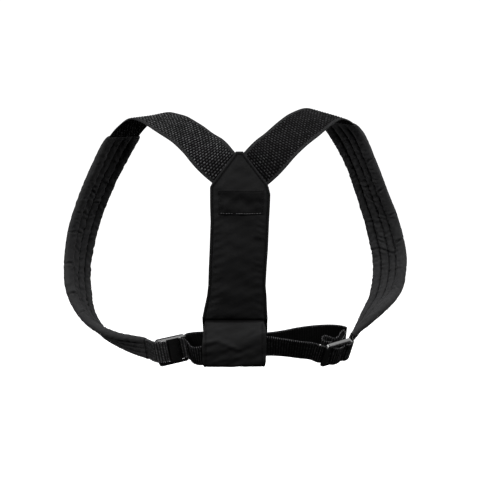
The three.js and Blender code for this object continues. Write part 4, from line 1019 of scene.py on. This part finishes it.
def make_slider(side):
    """Moulded three-bar slider: flat bars with rounded edges between two faceted rails."""
    import bmesh
    middle, along, up, out = slider_frame(side)
    facing = 1.0 if out @ np.cross(along, up) > 0 else -1.0
    half, rail = BAR_WIDE / 2, 13.0
    rim_line = [(x, min(max(y, -rail), rail)) for x, y in
                rounded(-BAR_OUT - half, BAR_IN + half, -SLIDER_TALL / 2, SLIDER_TALL / 2, SLIDER_CORNER)]
    loops = [
        [v for k, v in enumerate(rim_line) if math.dist(v, rim_line[k - 1]) > 1e-6],
        rounded(-BAR_OUT + half, -MIDDLE_BAR_WIDE / 2, -SLIDER_OPEN / 2, SLIDER_OPEN / 2, 0.85),
        rounded(MIDDLE_BAR_WIDE / 2, BAR_IN - half, -SLIDER_OPEN / 2, SLIDER_OPEN / 2, 0.85),
    ]
    bm = bmesh.new()
    edges = []
    for loop in loops:
        vs = [bm.verts.new((x, y, -SLIDER_THICK / 2)) for x, y in loop]
        edges += [bm.edges.new((vs[i], vs[(i + 1) % len(vs)])) for i in range(len(vs))]
    bmesh.ops.triangle_fill(bm, use_beauty=True, use_dissolve=False, edges=edges)
    bmesh.ops.dissolve_limit(bm, angle_limit=0.01, verts=bm.verts, edges=bm.edges)
    face_list = list(bm.faces)
    made = bmesh.ops.extrude_face_region(bm, geom=face_list)
    bmesh.ops.translate(bm, verts=[v for v in made["geom"] if isinstance(v, bmesh.types.BMVert)], vec=(0, 0, SLIDER_THICK))
    bmesh.ops.recalc_face_normals(bm, faces=bm.faces)
    sharp = [e for e in bm.edges if len(e.link_faces) == 2 and e.calc_face_angle(0) > math.radians(60)
             and abs(e.verts[0].co.z - e.verts[1].co.z) < 1e-6 and max(abs(v.co.y) for v in e.verts) < rail - 0.3]
    bmesh.ops.bevel(bm, geom=sharp, offset=0.7, segments=3, profile=0.5, affect="EDGES", clamp_overlap=True)
    # rails, drawn in at their ends along the slider's rounded corners
    reach, centre = (BAR_IN + BAR_OUT) / 2 + half, (BAR_IN - BAR_OUT) / 2
    x = np.concatenate([[-1.0], np.linspace(-0.995, -0.76, 9), np.linspace(-0.7, 0.7, 9), np.linspace(0.76, 0.995, 9), [1.0]]) * (reach - 0.75)
    inside = np.clip(reach - np.abs(x), 0, SLIDER_CORNER)
    top = SLIDER_TALL / 2 - SLIDER_CORNER + np.sqrt(np.clip(SLIDER_CORNER**2 - (SLIDER_CORNER - inside) ** 2, 0, None))
    share = np.clip((top - 12.7) / (SLIDER_TALL / 2 - 12.7), 0.05, 1.0)
    for end in (1.0, -1.0):
        ring = [[bm.verts.new((xi + centre, end * (12.7 + (u - 12.7) * k), facing * o * (0.8 + 0.2 * k))) for o, u in RAIL_SECTION] for xi, k in zip(x, share)]
        n = len(RAIL_SECTION)
        for a, b in zip(ring[:-1], ring[1:]):
            for k in range(n):
                bm.faces.new((a[k], a[(k + 1) % n], b[(k + 1) % n], b[k]))
        bm.faces.new(ring[0])
        bm.faces.new(ring[-1][::-1])
    bmesh.ops.recalc_face_normals(bm, faces=bm.faces)
    mesh = bpy.data.meshes.new(f"slider_{side}_moulded")
    bm.to_mesh(mesh)
    bm.free()
    third = np.cross(along, up)
    basis = np.stack([along, up, third], 1)
    co = np.array([v.co[:] for v in mesh.vertices])
    co = (co @ basis.T + middle - SHOULDER_LINE) * MM
    mesh.vertices.foreach_set("co", co.astype(np.float32).ravel())
    mesh.update()
    for poly in mesh.polygons:
        poly.use_smooth = True
    mesh.materials.append(PLASTIC)
    obj = bpy.data.objects.new(f"slider_{side}_moulded", mesh)
    bpy.context.scene.collection.objects.link(obj)
    mesh.set_sharp_from_angle(angle=math.radians(24))
    return put(obj, "slider_plastic", f"slider_{side}")


# ------------------------------------------------------------------ build
for side in ("left", "right"):
    make_elastic(side)
    make_pad(side)
    make_anchor(side)
    make_slider(side)
panel_A, _, _ = make_panel()
make_label(panel_A)
make_sleeve()
make_belt()

# ------------------------------------------------------------------ stage, light, camera
FLOOR_Z = -0.70
floor_mesh = bpy.data.meshes.new("floor")
ring = [(8 * math.cos(a), 8 * math.sin(a)) for a in np.linspace(0, 2 * math.pi, 48, endpoint=False)]
floor_mesh.from_pydata([(x, y, FLOOR_Z) for x, y in ring] + [(x, y, 12.0) for x, y in ring], [],
                       [tuple(range(48))] + [(k, (k + 1) % 48, 48 + (k + 1) % 48, 48 + k) for k in range(48)])
floor = bpy.data.objects.new("floor", floor_mesh)
bpy.context.scene.collection.objects.link(floor)
fm, ftree, fshader = new_material("pale_floor")
ftree.links.new(ramp(ftree, noise_node(ftree, node(ftree, "ShaderNodeTexCoord").outputs["Object"], 3.0), 0.2, 0.8,
                     ((0.86, 0.86, 0.86), (0.90, 0.90, 0.90))), fshader.inputs["Base Color"])
fshader.inputs["Emission Color"].default_value = (1, 1, 1, 1)
fshader.inputs["Emission Strength"].default_value = 1.02
fshader.inputs["Roughness"].default_value = 0.9
fshader.inputs["Specular IOR Level"].default_value = 0.1
floor.data.materials.append(fm)
floor.visible_diffuse = floor.visible_glossy = False

world = bpy.data.worlds.new("studio")
bpy.context.scene.world = world
world.use_nodes = True
wt = world.node_tree
back = next(n for n in wt.nodes if n.type == "BACKGROUND")
direction = node(wt, "ShaderNodeSeparateXYZ")
wt.links.new(node(wt, "ShaderNodeTexCoord").outputs["Generated"], direction.inputs[0])
height = spread_value(wt, direction.outputs[2], 0.02, 0.36)        # dim from below, brighter from above
height.node.inputs["From Min"].default_value = 0.45
wt.links.new(height, back.inputs["Strength"])
back.inputs["Color"].default_value = (1, 1, 1, 1)


def area_light(name, place, target, size, power):
    data = bpy.data.lights.new(name, "AREA")
    data.shape = "RECTANGLE"
    data.size, data.size_y = size
    data.energy = power
    obj = bpy.data.objects.new(name, data)
    bpy.context.scene.collection.objects.link(obj)
    obj.location = place
    obj.rotation_euler = (Vector(target) - Vector(place)).to_track_quat("-Z", "Y").to_euler()
    obj.visible_camera = False


area_light("softbox_key", (0.28, -0.48, 0.42), (0.02, 0.0, -0.08), (0.5, 0.3), 5.1)
area_light("softbox_over", (0.0, 0.25, 0.85), (0, 0.0, -0.12), (1.2, 1.1), 11.0)
area_light("softbox_left", (-1.0, -0.22, 0.28), (0, 0.05, -0.12), (0.6, 0.8), 10.5)
area_light("softbox_right", (1.0, 0.26, 0.30), (0, 0.05, -0.12), (0.8, 1.1), 8.0)

scene = bpy.context.scene
scene.view_settings.view_transform = "Standard"
scene.view_settings.look = "None"

camera = bpy.data.cameras.new("camera")
camera.sensor_width = 36.0
camera.lens = 89.25
camera.clip_start, camera.clip_end = 0.05, 900.0
view = bpy.data.objects.new("camera", camera)
scene.collection.objects.link(view)
view.location = (0.00118, -1.4544, 0.1611)
view.rotation_euler = (math.radians(78), 0, 0)
scene.camera = view
